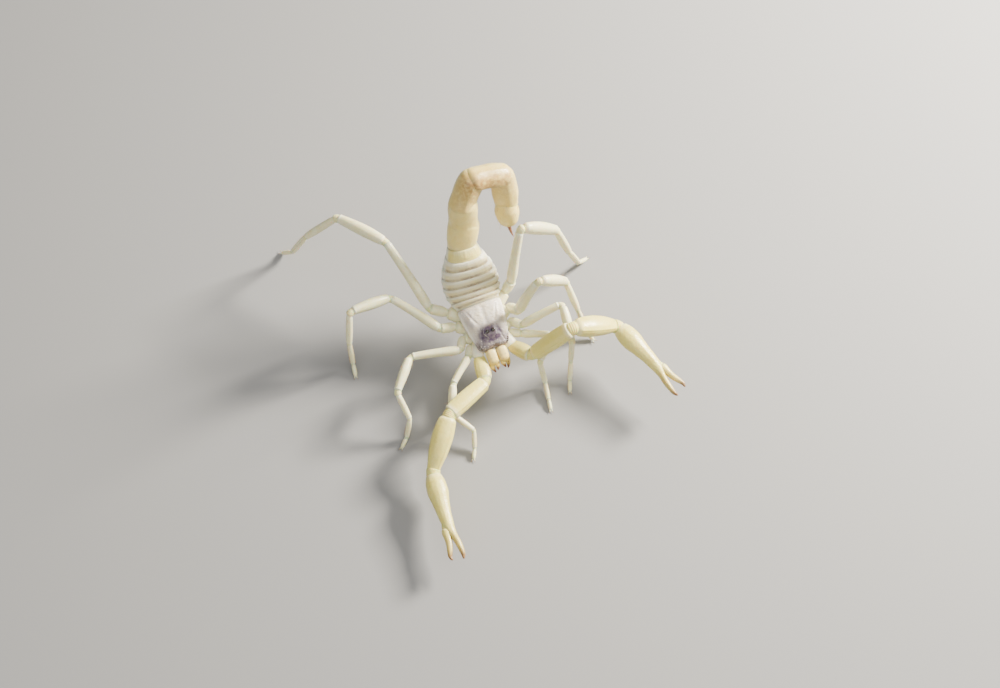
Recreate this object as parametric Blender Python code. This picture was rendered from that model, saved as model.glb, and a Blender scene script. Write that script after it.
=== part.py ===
"""A life-size desert scorpion, standing on its eight feet with its tail arched. Metres, +Z up.

The head points along -Y and the animal's left side is +X. Each plate or limb piece is one closed solid.
"""

import math

import bmesh
import bpy
from mathutils import Matrix, Vector

MM = 0.001
GAP = 0.25 * MM

# The body's place: the middle of the head shield, above the floor, with its front end low.
HEAD_HEIGHT = 6.7 * MM
HEAD_ASIDE = 0.3 * MM
HEAD_PITCH = 15

CARAPACE_LENGTH = 7.1 * MM
CARAPACE_FRONT_WIDTH = 4.5 * MM
CARAPACE_BACK_WIDTH = 6.7 * MM
CARAPACE_HEIGHT = 1.45 * MM
CARAPACE_CUT = -0.3 * MM
TUBERCLE_BACK = 2.5 * MM
EYE_RADIUS = 0.3 * MM
EYE_SPREAD = 0.42 * MM
EYE_LIFT = 0.02 * MM

CHELICERA_LENGTH = 3.3 * MM
CHELICERA_WIDTH = 1.45 * MM
CHELICERA_ROOT = (0.80, -0.10)
CHELICERA_TIP = (0.78, -0.75)

# The breastplate between the leg roots, and the inner ends of those roots.
STERNUM_LENGTH = 7.0 * MM
STERNUM_FRONT = -3.6 * MM
STERNUM_HALF_WIDTHS = (1.5, 2.0, 2.3)
STERNUM_HALF_HEIGHT = 0.6 * MM
UNDERSIDE = -1.2
COXA_INNER = 1.8
COXA_CLEARANCE = 0.65 * MM
COXA_SHARE = 0.52

# The seven rings of the trunk, from the head shield to the tail: length and greatest width.
TRUNK_RINGS = ((0.80, 6.9), (1.00, 7.7), (1.15, 8.2), (1.30, 8.4), (1.45, 8.1), (1.55, 7.2), (2.10, 5.9))
TRUNK_END_WIDTH = 4.5 * MM
TRUNK_HEIGHT = 4.6 * MM
TRUNK_END_PITCH = 54
TRUNK_END_TURN = 6
# Across the trunk: each ring's sizes along it, as (share of its length, share of its width).
RING_SIZES = ((0.0, 0.94), (0.3, 1.0), (0.7, 1.0), (1.0, 0.96))

# A comb under the trunk: its two ends as (back, aside), and its half width and height.
PECTEN_ENDS = ((0.6, 0.7), (3.0, 3.1))
PECTEN_HALVES = (0.55 * MM, 0.26 * MM)
PECTEN_DROP = 0.30 * MM

# The five tail segments: length, width, height, then their heading (0 is back, 90 is the animal's left)
# and rise. The sting's bulb and spine follow them.
TAIL = (
    (3.8, 4.5, 4.0, 37, 66),
    (4.1, 4.2, 3.8, 20, 80),
    (4.2, 4.0, 3.7, 58, 55),
    (4.6, 3.8, 3.4, 88, -20),
    (5.5, 3.8, 3.2, 172, -76),
)
BULB = (3.6, 3.3, 2.8, 189, -56)
SPINE = (2.4, 0.9, 0.9, 186, -54)
SPINE_HOOK = 0.55 * MM
SPINE_HALVES = (0.48, 0.28)
TAIL_INSIDE = Vector((2.5, 6.0, 17.0)) * MM

# A leg: its hip beside the head shield, then the lengths and widths of its five pieces.
LEGS = {
    1: ((3.2, -1.9, -1.1), (6.2, 4.4, 4.0, 2.7, 1.6), (1.15, 1.30, 0.90, 0.75, 0.62)),
    2: ((3.8, -0.3, -1.1), (8.3, 5.7, 4.5, 3.2, 1.8), (1.25, 1.45, 0.95, 0.80, 0.65)),
    3: ((4.3, 1.7, -1.0), (10.3, 6.9, 5.8, 4.4, 2.1), (1.35, 1.60, 1.05, 0.85, 0.68)),
    4: ((4.7, 4.1, -0.9), (13.5, 8.4, 7.3, 5.4, 2.5), (1.45, 1.75, 1.15, 0.90, 0.70)),
}
# Each piece's sweep (0 is straight out from the body, 90 is forward) and rise. The last piece reaches
# the floor by itself.
LEG_POSE = {
    ("left", 1): ((28, 5), (139, -17), (86, -60), (101, -9), (101, None)),
    ("left", 2): ((13, 24), (97, -15), (114, -75), (114, -50), (112, None)),
    ("left", 3): ((27, 66), (-8, -47), (70, -60), (68, -64), (66, None)),
    ("left", 4): ((-38, 72), (-6, -45), (18, -73), (-1, -70), (-26, None)),
    ("right", 1): ((45, -2), (66, -17), (126, -20), (70, -37), (62, None)),
    ("right", 2): ((2, 6), (50, -3), (99, -40), (52, -54), (42, None)),
    ("right", 3): ((-43, 13), (9, 19), (60, -63), (78, -72), (80, None)),
    ("right", 4): ((-68, 21), (-51, 0), (-17, -45), (-21, -62), (-40, None)),
}
# Each leg's hip ring, which turns from the body into the long piece: length, sweep and rise.
HIP_RINGS = {
    ("left", 1): (1.5, 30, 0),
    ("left", 2): (1.9, 50, 12),
    ("left", 3): (2.3, 62, 34),
    ("left", 4): (2.2, -20, 58),
    ("right", 1): (1.5, 60, -2),
    ("right", 2): (1.9, 60, 0),
    ("right", 3): (2.1, -10, 6),
    ("right", 4): (2.5, -30, 16),
}
# Sizes along the hip ring and the long piece after it, as (share of its length, share of its width).
HIP_SIZES = ((0.0, 0.60), (0.15, 0.88), (0.45, 1.02), (0.80, 0.95))
LONG_SIZES = ((0.10, 0.84), (0.55, 1.0), (0.90, 0.94), (0.97, 0.82), (1.0, 0.55))
HIP_START = 0.15 * MM
FOOT_SOLE = 0.12 * MM
COXA_HALF_HEIGHT = 0.55 * MM

# An arm: its root beside the mouth, then each piece's length, width and height.
ARM_ROOT = Vector((2.5, -3.7, -1.3)) * MM
ARM = {
    "trochanter": (4.2, 2.1, 1.9),
    "femur": (7.8, 2.45, 2.1),
    "patella": (8.6, 2.85, 2.4),
    "palm": (8.9, 3.0, 2.75),
    "finger": (4.7, 1.1, 1.15),
}
ARM_POSE = {
    "left": ((59, 23), (1, 38), (2, -33), (69, -5)),
    "right": ((83, 6), (25, 9), (51, -20), (84, 2)),
}
FINGER_OPENING = {"left": 15, "right": 13}
FINGER_SWING = 7
# Each arm piece's share of its width at its start and end, and where along it it's widest.
ARM_SHAPES = {"trochanter": (0.8, 0.8, 0.5), "femur": (0.72, 0.82, 0.6), "patella": (0.7, 0.72, 0.45)}
# Sizes along the hand, as (share of its length, share of its width), and along the finger beside it.
PALM_SIZES = ((0.0, 0.60), (0.06, 0.80), (0.16, 0.95), (0.32, 1.0), (0.52, 0.82), (0.76, 0.62))
FINGER_SIZES = (
    (0.0, 0.55), (0.05, 0.85), (0.16, 1.0), (0.35, 1.0), (0.6, 0.92), (0.82, 0.8), (0.95, 0.66), (1.0, 0.45)
)
FIXED_FINGER_PLACES = (0.0, 0.12, 0.3, 0.5, 0.7, 0.86, 0.96, 1.0)
FIXED_FINGER_TAPER = 0.35
FINGER_ROOT_SHARE = 0.25
HINGE_BEYOND = 0.75 * MM
HINGE_ASIDE = 0.24
FINGER_ARCH = 0.25 * MM

# How far a piece draws back at a bend, as a share of its width.
BEND_SHARE = 0.3
TAIL_BEND_SHARE = 0.65

PLATE = (0.80, 0.74, 0.58)
TRUNK_COLOUR = (0.62, 0.55, 0.44)
LIMB = (0.86, 0.84, 0.70)
ARM_COLOUR = (0.84, 0.78, 0.58)
TAIL_COLOUR = (0.80, 0.68, 0.46)
MOUTH = (0.80, 0.66, 0.30)
EYE_BLACK = (0.01, 0.01, 0.012)
SPINE_BROWN = (0.30, 0.17, 0.10)


def clear_scene():
    for thing in list(bpy.data.objects):
        bpy.data.objects.remove(thing, do_unlink=True)


def collection(name):
    made = bpy.data.collections.new(name)
    bpy.context.scene.collection.children.link(made)
    return made


def material(name, colour, roughness):
    made = bpy.data.materials.new(name)
    made.use_nodes = True
    shader = made.node_tree.nodes["Principled BSDF"]
    shader.inputs["Base Color"].default_value = (*colour, 1.0)
    shader.inputs["Roughness"].default_value = roughness
    shader.inputs["Metallic"].default_value = 0.0
    return made


def heading(turn, rise):
    """The unit vector at a turn from +Y towards +X and a rise above the floor, in degrees."""
    turn, rise = math.radians(turn), math.radians(rise)
    return Vector((math.sin(turn) * math.cos(rise), math.cos(turn) * math.cos(rise), math.sin(rise)))


def outward(side, sweep, rise):
    """The unit vector of a limb piece. The side is 1 for the animal's left and -1 for its right."""
    return heading(side * (90 + sweep), rise)


def square_to(direction, hint):
    """The part of the hint that is square to the direction."""
    return (hint - direction * hint.dot(direction)).normalized()


def ease(t):
    return t * t * (3 - 2 * t)


def swell(t, start, middle, end, peak=0.5):
    """A smooth rise from start to middle at the peak, then a smooth fall to end."""
    if t < peak:
        return start + (middle - start) * ease(t / peak)
    return middle + (end - middle) * ease((t - peak) / (1 - peak))


def ring(centre, direction, up, half_width, half_height):
    """One section of a loft: its centre, its two axes at full size, and nothing else."""
    up = square_to(direction, up)
    across = direction.cross(up)
    return centre, across * half_width, up * half_height


def loft(name, rings, sides, squareness=2.0):
    """A closed solid through the rings, each a rounded square or an oval, with flat ends."""
    shape = bmesh.new()
    rows = []
    for centre, across, up in rings:
        row = []
        for k in range(sides):
            angle = math.tau * (k + 0.5) / sides
            c, s = math.cos(angle), math.sin(angle)
            x = math.copysign(abs(c) ** (2 / squareness), c)
            z = math.copysign(abs(s) ** (2 / squareness), s)
            row.append(shape.verts.new(centre + across * x + up * z))
        rows.append(row)
    for first, second in zip(rows, rows[1:]):
        for k in range(sides):
            m = (k + 1) % sides
            shape.faces.new((first[k], first[m], second[m], second[k]))
    shape.faces.new(rows[0])
    shape.faces.new(rows[-1])
    bmesh.ops.recalc_face_normals(shape, faces=shape.faces)
    return finish(name, shape)


def finish(name, shape):
    mesh = bpy.data.meshes.new(name)
    shape.to_mesh(mesh)
    shape.free()
    mesh.shade_smooth()
    mesh.set_sharp_from_angle(angle=math.radians(50))
    return bpy.data.objects.new(name, mesh)


def end_steps(length, cap, count):
    """Places along a piece as (distance, shrink), closer together where both ends round over."""
    cap = min(cap, 0.4 * length)
    start = [(0.0, 0.62), (0.35 * cap, 0.88), (cap, 1.0)]
    inner = [(cap + (length - 2 * cap) * k / count, 1.0) for k in range(1, count)]
    return start + inner + [(length - d, shrink) for d, shrink in reversed(start)]


def piece_rings(a, b, up, half_width, half_height, count, cap_share=0.55):
    """Rings of a straight piece from a to b. The halves are functions of the share of its length."""
    direction = (b - a).normalized()
    length = (b - a).length
    cap = cap_share * min(half_width(0.5), half_height(0.5))
    made = []
    for d, shrink in end_steps(length, cap, count):
        t = d / length
        centre = a + direction * d
        made.append(ring(centre, direction, up, half_width(t) * shrink, half_height(t) * shrink))
    return made


def head_frame():
    """The head shield's frame: its middle at the origin, +Y along it to the tail, nose down."""
    lift = Matrix.Translation((HEAD_ASIDE, 0, HEAD_HEIGHT))
    return lift @ Matrix.Rotation(math.radians(HEAD_PITCH), 4, "X")


def carapace():
    frame = head_frame()
    ahead, up = frame.to_3x3() @ Vector((0, 1, 0)), frame.to_3x3() @ Vector((0, 0, 1))
    rings = []
    for d, shrink in end_steps(CARAPACE_LENGTH - GAP, 0.5 * MM, 8):
        t = d / CARAPACE_LENGTH
        spread = (CARAPACE_BACK_WIDTH - CARAPACE_FRONT_WIDTH) * math.sin(t * math.pi / 2)
        width = CARAPACE_FRONT_WIDTH + spread
        height = CARAPACE_HEIGHT * swell(t, 0.72, 1.0, 0.98, 0.55) * shrink
        centre = frame @ Vector((0, d - CARAPACE_LENGTH / 2, 0.1 * MM))
        rings.append(ring(centre, ahead, up, width / 2 * (0.5 + 0.5 * shrink), height))
    shield = loft("carapace", rings, 20, 2.5)
    cut_below(shield, frame @ Vector((0, 0, CARAPACE_CUT)), up)
    return shield


def cut_below(thing, point, up):
    """Removes what lies below the plane and closes the solid with a flat face."""
    shape = bmesh.new()
    shape.from_mesh(thing.data)
    everything = shape.verts[:] + shape.edges[:] + shape.faces[:]
    made = bmesh.ops.bisect_plane(shape, geom=everything, plane_co=point, plane_no=-up, clear_outer=True)
    rim = [edge for edge in made["geom_cut"] if isinstance(edge, bmesh.types.BMEdge)]
    bmesh.ops.contextual_create(shape, geom=rim)
    bmesh.ops.recalc_face_normals(shape, faces=shape.faces)
    shape.to_mesh(thing.data)
    shape.free()


def eye(side):
    frame = head_frame()
    y = TUBERCLE_BACK - CARAPACE_LENGTH / 2
    place = frame @ Vector((side * EYE_SPREAD, y, CARAPACE_HEIGHT + EYE_LIFT + GAP + EYE_RADIUS))
    shape = bmesh.new()
    bmesh.ops.create_uvsphere(
        shape, u_segments=10, v_segments=7, radius=EYE_RADIUS, matrix=Matrix.Translation(place)
    )
    return finish("eye_" + ("left" if side > 0 else "right"), shape)


def chelicera(side):
    frame = head_frame()
    front = -CARAPACE_LENGTH / 2
    (root_x, root_z), (tip_x, tip_z) = CHELICERA_ROOT, CHELICERA_TIP
    a = frame @ Vector((side * root_x * MM, front - GAP, root_z * MM))
    b = frame @ Vector((side * tip_x * MM, front - CHELICERA_LENGTH, tip_z * MM))
    half = CHELICERA_WIDTH / 2
    rings = piece_rings(
        a,
        b,
        Vector((0, 0, 1)),
        lambda t: half * swell(t, 0.85, 1.0, 0.55, 0.4),
        lambda t: half * swell(t, 0.9, 1.05, 0.5, 0.35),
        4,
    )
    return loft("chelicera_" + ("left" if side > 0 else "right"), rings, 10)


def coxae(helpers):
    """The underside of the head: a breastplate joined to the eight leg roots."""
    frame = head_frame()
    rings = []
    ahead = frame.to_3x3() @ Vector((0, 1, 0))
    for d, shrink in end_steps(STERNUM_LENGTH, STERNUM_HALF_HEIGHT, 4):
        half_width = swell(d / STERNUM_LENGTH, *STERNUM_HALF_WIDTHS, 0.6) * MM
        centre = frame @ Vector((0, d + STERNUM_FRONT, UNDERSIDE * MM))
        rings.append(ring(centre, ahead, Vector((0, 0, 1)), half_width, STERNUM_HALF_HEIGHT * shrink))
    plate = loft("coxae_sternum", rings, 12, 2.4)
    for number, (hip, _, widths) in LEGS.items():
        for side in (1, -1):
            outer = Vector((side * hip[0], hip[1], hip[2])) * MM
            inner = Vector((side * COXA_INNER, hip[1] * 0.3 - 0.6, UNDERSIDE)) * MM
            outer = outer - (outer - inner).normalized() * COXA_CLEARANCE
            half = widths[0] * COXA_SHARE * MM
            rings = piece_rings(
                frame @ inner,
                frame @ outer,
                Vector((0, 0, 1)),
                lambda t: half,
                lambda t: COXA_HALF_HEIGHT,
                1,
            )
            stub = loft(f"coxa_cutter_{number}_{side}", rings, 8)
            stub.hide_render = True
            stub.display_type = "WIRE"
            helpers.objects.link(stub)
            union = plate.modifiers.new(f"coxa {number} {side}", "BOOLEAN")
            union.operation = "UNION"
            union.solver = "EXACT"
            union.object = stub
    return plate


def trunk_frames():
    """The frame at each joint of the trunk, as (centre, direction to the tail, up), plus the lengths."""
    count = len(TRUNK_RINGS)
    centre = head_frame() @ Vector((0, CARAPACE_LENGTH / 2, 0))
    frames = []
    for k in range(count + 1):
        share = k / count
        rise = HEAD_PITCH + (TRUNK_END_PITCH - HEAD_PITCH) * share
        turn = TRUNK_END_TURN * share
        frames.append((centre.copy(), heading(turn, rise), heading(turn, rise + 90)))
        if k < count:
            half_step = 0.5 / count
            middle_rise = rise + (TRUNK_END_PITCH - HEAD_PITCH) * half_step
            middle_turn = turn + TRUNK_END_TURN * half_step
            centre = centre + heading(middle_turn, middle_rise) * TRUNK_RINGS[k][0] * MM
    return frames


def trunk_ring(k, frames):
    (a, a_way, a_up), (b, b_way, b_up) = frames[k], frames[k + 1]
    length, width = (value * MM for value in TRUNK_RINGS[k])
    last = k == len(TRUNK_RINGS) - 1
    half_height = TRUNK_HEIGHT / 2 * (0.86 + 0.14 * math.sin(math.pi * (k + 1) / 7))
    rings = []
    for t, shrink in RING_SIZES:
        d = GAP / 2 + (length - GAP) * t
        share = d / length
        taper = 1 + (TRUNK_END_WIDTH / width - 1) * ease(share) if last else 1
        rings.append(
            ring(
                a.lerp(b, share),
                a_way.lerp(b_way, share).normalized(),
                a_up.lerp(b_up, share),
                width / 2 * taper * shrink,
                half_height * (0.5 + 0.5 * taper) * shrink,
            )
        )
    return loft(f"trunk_{k + 1}", rings, 16, 2.2)


def pecten(side, frames):
    """A comb under the second ring, which spreads back and out from the middle."""
    centre, way, up = frames[0]
    across = way.cross(up) * side
    under = centre - up * (TRUNK_HEIGHT / 2 + PECTEN_DROP)
    a, b = (under + way * back * MM + across * aside * MM for back, aside in PECTEN_ENDS)
    half_width, half_height = PECTEN_HALVES
    rings = piece_rings(
        a,
        b,
        up,
        lambda t: half_width * swell(t, 0.8, 1.0, 0.6, 0.3),
        lambda t: half_height,
        3,
        cap_share=1.0,
    )
    return loft("pecten_" + ("left" if side > 0 else "right"), rings, 6, 2.6)


def tail_joints(frames):
    """The trunk's last joint but one, the joints of the tail, and each piece's upper side.

    The upper side turns to face the inside of the arch.
    """
    point, _, back_up = frames[-1]
    pieces = list(TAIL) + [BULB, SPINE]
    points, ups = [frames[-2][0], point], []
    for k, (length, _, _, turn, rise) in enumerate(pieces):
        way = heading(turn, rise)
        following = point + way * length * MM
        inside = (TAIL_INSIDE - (point + following) / 2).normalized()
        share = min(1.0, 0.35 * (k + 1))
        ups.append(square_to(way, back_up.lerp(inside, share)))
        points.append(following)
        point = following
    return points, ups


def trimmed_ends(points, k, end_half):
    """The ends of one piece, drawn back from its joints so that bent neighbours keep their gap."""
    a, b = points[k], points[k + 1]
    way = (b - a).normalized()
    ends = []
    before = points[k - 1] if k > 0 else None
    after = points[k + 2] if k + 2 < len(points) else None
    for joint, other in ((a, before), (b, after)):
        back = GAP / 2
        if other is not None:
            bend = way.angle(joint - other if joint is a else other - joint)
            back += end_half * math.tan(bend / 2)
        ends.append(back)
    return a + way * ends[0], b - way * ends[1]


def tail_segment(k, points, ups):
    _, width, height, _, _ = TAIL[k]
    half_width, half_height = width / 2 * MM, height / 2 * MM
    first, last = (0.88, 0.92) if k < 4 else (0.86, 0.72)
    a, b = trimmed_ends(points, k + 1, TAIL_BEND_SHARE * half_height)
    rings = piece_rings(
        a,
        b,
        ups[k],
        lambda t: half_width * swell(t, first, 1.0, last, 0.6),
        lambda t: half_height * swell(t, first, 1.0, last, 0.6),
        3,
        cap_share=0.45,
    )
    return loft(f"tail_{k + 1}", rings, 12, 2.5)


def sting_bulb(points, ups):
    _, width, height, _, _ = BULB
    a, b = trimmed_ends(points, len(TAIL) + 1, 0.25 * height * MM)
    rings = piece_rings(
        a,
        b,
        ups[5],
        lambda t: width / 2 * MM * swell(t, 0.55, 1.0, 0.42, 0.45),
        lambda t: height / 2 * MM * swell(t, 0.55, 1.0, 0.42, 0.45),
        4,
    )
    return loft("sting_bulb", rings, 12)


def sting_spine(points, ups):
    """The spine tapers and hooks away from the inside of the arch."""
    length = SPINE[0] * MM
    start = points[-2]
    way = (points[-1] - start).normalized()
    hook = -ups[-1]
    rings = []
    for k in range(7):
        t = k / 6
        centre = start + way * (GAP + (length - GAP) * t) + hook * SPINE_HOOK * t * t
        along = (way * length + hook * 2 * SPINE_HOOK * t).normalized()
        half = (SPINE_HALVES[0] + (SPINE_HALVES[1] - SPINE_HALVES[0]) * t) * MM
        rings.append(ring(centre, along, ups[-1], half, half))
    return loft("sting_spine", rings, 10)


def leg_points(side, number):
    """The leg's joints, from the hip to the toe. The last piece's rise comes from the floor."""
    name = "left" if side > 0 else "right"
    hip, lengths, widths = LEGS[number]
    point = head_frame() @ (Vector((side * hip[0], hip[1], hip[2])) * MM)
    points = [point]
    toe_height = widths[-1] / 2 * MM - FOOT_SOLE
    for length, (sweep, rise) in zip(lengths, LEG_POSE[name, number]):
        if rise is None:
            rise = math.degrees(math.asin((toe_height - point.z) / (length * MM)))
        point = point + outward(side, sweep, rise) * length * MM
        points.append(point)
    return points


def limb_up(way):
    """The upper side of a limb piece: towards +Z, or along the body where the piece is nearly upright."""
    return square_to(way, Vector((0, 0, 1)) if abs(way.z) < 0.97 else Vector((0, -1, 0)))


def femur(side, number, points, widths):
    """The ring at the hip and the long piece beyond it, which turns and narrows between the two."""
    name = "left" if side > 0 else "right"
    length, sweep, rise = HIP_RINGS[name, number]
    hip_way = outward(side, sweep, rise)
    shoulder = points[0] + hip_way * length * MM
    _, end = trimmed_ends([shoulder] + points[1:], 0, BEND_SHARE * widths[0] * MM)
    long_way = (end - shoulder).normalized()
    half = widths[0] / 2 * MM
    start = points[0] + hip_way * HIP_START
    between = (hip_way + long_way).normalized()
    rings = [leg_ring(start.lerp(shoulder, t), hip_way, half * size) for t, size in HIP_SIZES]
    rings.append(leg_ring(shoulder, between, half * 0.78))
    rings += [leg_ring(shoulder.lerp(end, t), long_way, half * size) for t, size in LONG_SIZES]
    return loft(f"leg_{number}_{name}_femur", rings, 8)


def leg_ring(centre, way, half):
    """A leg's section, a little taller than wide."""
    return ring(centre, way, limb_up(way), half * 0.92, half * 1.04)


def patella(side, number, points, widths):
    name = "left" if side > 0 else "right"
    a, b = trimmed_ends(points, 1, BEND_SHARE * widths[1] * MM)
    half = widths[1] / 2 * MM
    up = limb_up((b - a).normalized())
    rings = piece_rings(
        a,
        b,
        up,
        lambda t: 0.88 * half * swell(t, 0.72, 1.0, 0.70, 0.45),
        lambda t: 1.05 * half * swell(t, 0.72, 1.0, 0.70, 0.45),
        3,
    )
    return loft(f"leg_{number}_{name}_patella", rings, 8)


def foot(side, number, points, widths):
    """The shin and the two foot pieces as one bent solid, with a small flat sole."""
    name = "left" if side > 0 else "right"
    path = points[2:]
    start, _ = trimmed_ends(points, 2, BEND_SHARE * widths[2] * MM)
    ways = [(q - p).normalized() for p, q in zip(path, path[1:])]
    halves = [w / 2 * MM for w in widths[2:]]
    rings = []
    for k, (p, q) in enumerate(zip([start] + path[1:-1], path[1:])):
        before = ways[max(0, k - 1)]
        after = ways[min(len(ways) - 1, k + 1)]
        shares = (0.0, 0.06, 0.5) if k == 0 else (0.0, 0.18, 0.6)
        for t in shares:
            way = (before + ways[k]).normalized() if t == 0.0 and k > 0 else ways[k]
            size = halves[k] * (0.6 if t == 0.0 and k == 0 else 0.82 if t == 0.0 else 1.0)
            rings.append(ring(p.lerp(q, t), way, limb_up(ways[k]), size, size))
        if k == len(ways) - 1:
            for t, share in ((0.92, 0.85), (1.0, 0.55)):
                size = halves[k] * share
                rings.append(ring(p.lerp(q, t), after, limb_up(ways[k]), size, size))
    thing = loft(f"leg_{number}_{name}_foot", rings, 8)
    cut_below(thing, Vector((0, 0, 0)), Vector((0, 0, 1)))
    return thing


def arm_points(side):
    name = "left" if side > 0 else "right"
    point = head_frame() @ Vector((side * ARM_ROOT.x, ARM_ROOT.y, ARM_ROOT.z))
    points = [point]
    lengths = [ARM[part][0] for part in ("trochanter", "femur", "patella")]
    lengths.append(ARM["palm"][0] + ARM["finger"][0])
    for length, (sweep, rise) in zip(lengths, ARM_POSE[name]):
        point = point + outward(side, sweep, rise) * length * MM
        points.append(point)
    return points


def arm_piece(side, part, k, points, shape):
    name = "left" if side > 0 else "right"
    _, width, height = ARM[part]
    a, b = trimmed_ends(points, k, BEND_SHARE * width * MM)
    way = (b - a).normalized()
    start, end, peak = shape
    rings = piece_rings(
        a,
        b,
        limb_up(way),
        lambda t: width / 2 * MM * swell(t, start, 1.0, end, peak),
        lambda t: height / 2 * MM * swell(t, start, 1.0, end, peak),
        4,
    )
    return loft(f"arm_{name}_{part}", rings, 10, 2.3)


def claw_frame(side, points):
    """The claw's wrist, its direction, its outer side, its upper side and its fingers' direction."""
    wrist = points[3]
    way = (points[4] - wrist).normalized()
    up = limb_up(way)
    outer = way.cross(up)
    if outer.x * side < 0:
        outer = -outer
    swing = math.radians(FINGER_SWING)
    return wrist, way, outer, up, way * math.cos(swing) - outer * math.sin(swing)


def palm(side, points):
    """The swollen hand and its fixed finger, which grows from the hand's inner half."""
    name = "left" if side > 0 else "right"
    wrist, way, outer, up, finger_way = claw_frame(side, points)
    length, width, height = (value * MM for value in ARM["palm"])
    reach, finger_width, finger_height = (value * MM for value in ARM["finger"])
    start, _ = trimmed_ends(points, 3, BEND_SHARE * ARM["patella"][1] * MM)
    retreat = (start - wrist).length
    rings = []
    for t, size in PALM_SIZES:
        centre = wrist + way * (retreat + (length - retreat) * t)
        rings.append(ring(centre, way, up, width / 2 * size, height / 2 * size))
    for t in FIXED_FINGER_PLACES:
        blend = ease(min(1.0, t / FINGER_ROOT_SHARE))
        taper = 1 - FIXED_FINGER_TAPER * t * t
        centre = wrist + way * length + finger_way * reach * t
        centre -= outer * (0.16 + 0.09 * math.sin(math.pi * t)) * width * (0.35 + 0.65 * blend)
        half_width = (width * 0.28 * (1 - blend) + finger_width * 0.5 * blend) * taper
        half_height = (height * 0.31 * (1 - blend) + finger_height * 0.5 * blend) * taper
        rings.append(ring(centre, way.lerp(finger_way, blend).normalized(), up, half_width, half_height))
    return loft(f"claw_{name}_palm", rings, 10, 2.1)


def movable_finger(side, points):
    """The outer finger, hinged on the hand's outer half and held open."""
    name = "left" if side > 0 else "right"
    wrist, way, outer, up, finger_way = claw_frame(side, points)
    length, width, _ = (value * MM for value in ARM["palm"])
    reach, finger_width, finger_height = (value * MM for value in ARM["finger"])
    opening = math.radians(FINGER_OPENING[name])
    root = wrist + way * (length + HINGE_BEYOND) + outer * HINGE_ASIDE * width
    finger_side = finger_way.cross(up)
    if finger_side.dot(outer) < 0:
        finger_side = -finger_side
    along = finger_way * math.cos(opening) + finger_side * math.sin(opening)
    sideways = finger_side * math.cos(opening) - finger_way * math.sin(opening)
    rings = []
    span = reach - HINGE_BEYOND
    for t, size in FINGER_SIZES:
        centre = root + along * span * t + sideways * FINGER_ARCH * math.sin(math.pi * t)
        lean = FINGER_ARCH * math.pi * math.cos(math.pi * t) / span
        tangent = (along + sideways * lean).normalized()
        rings.append(ring(centre, tangent, up, finger_width / 2 * size, finger_height / 2 * size))
    return loft(f"claw_{name}_finger", rings, 10)


def footprint_middle(things):
    """The middle of everything's footprint, on the floor."""
    corners = [vertex.co for thing in things for vertex in thing.data.vertices]
    xs, ys = [corner.x for corner in corners], [corner.y for corner in corners]
    return Vector(((min(xs) + max(xs)) / 2, (min(ys) + max(ys)) / 2, 0))


def build():
    clear_scene()
    parts = collection("desert_scorpion")
    helpers = collection("cutters")
    stand = bpy.data.objects.new("scorpion_origin", None)
    stand.hide_render = True
    parts.objects.link(stand)

    frames = trunk_frames()
    tail_points, tail_ups = tail_joints(frames)
    made = [
        (carapace(), material("head shield", PLATE, 0.4)),
        (coxae(helpers), material("underside", PLATE, 0.5)),
    ]
    for k in range(len(TRUNK_RINGS)):
        made.append((trunk_ring(k, frames), material(f"trunk {k + 1}", TRUNK_COLOUR, 0.45)))
    for k in range(len(TAIL)):
        made.append((tail_segment(k, tail_points, tail_ups), material(f"tail {k + 1}", TAIL_COLOUR, 0.4)))
    made.append((sting_bulb(tail_points, tail_ups), material("sting bulb", TAIL_COLOUR, 0.35)))
    made.append((sting_spine(tail_points, tail_ups), material("sting spine", SPINE_BROWN, 0.3)))
    for side, name in ((1, "left"), (-1, "right")):
        made.append((eye(side), material(f"eye {name}", EYE_BLACK, 0.08)))
        made.append((chelicera(side), material(f"chelicera {name}", MOUTH, 0.4)))
        made.append((pecten(side, frames), material(f"pecten {name}", PLATE, 0.5)))
        for number, (_, _, widths) in LEGS.items():
            points = leg_points(side, number)
            for maker in (femur, patella, foot):
                thing = maker(side, number, points, widths)
                made.append((thing, material(thing.name.replace("_", " "), LIMB, 0.4)))
        points = arm_points(side)
        for k, (part, shape) in enumerate(ARM_SHAPES.items()):
            thing = arm_piece(side, part, k, points, shape)
            made.append((thing, material(thing.name.replace("_", " "), ARM_COLOUR, 0.4)))
        for maker in (palm, movable_finger):
            thing = maker(side, points)
            made.append((thing, material(thing.name.replace("_", " "), ARM_COLOUR, 0.35)))
    stand.location = -footprint_middle([thing for thing, _ in made])
    for thing, finish_of in made:
        thing.data.materials.append(finish_of)
        parts.objects.link(thing)
        thing.parent = stand
    for helper in helpers.objects:
        helper.parent = stand


build()
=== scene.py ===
"""Builds the finished looks of a life-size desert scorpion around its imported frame."""

import math

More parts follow.
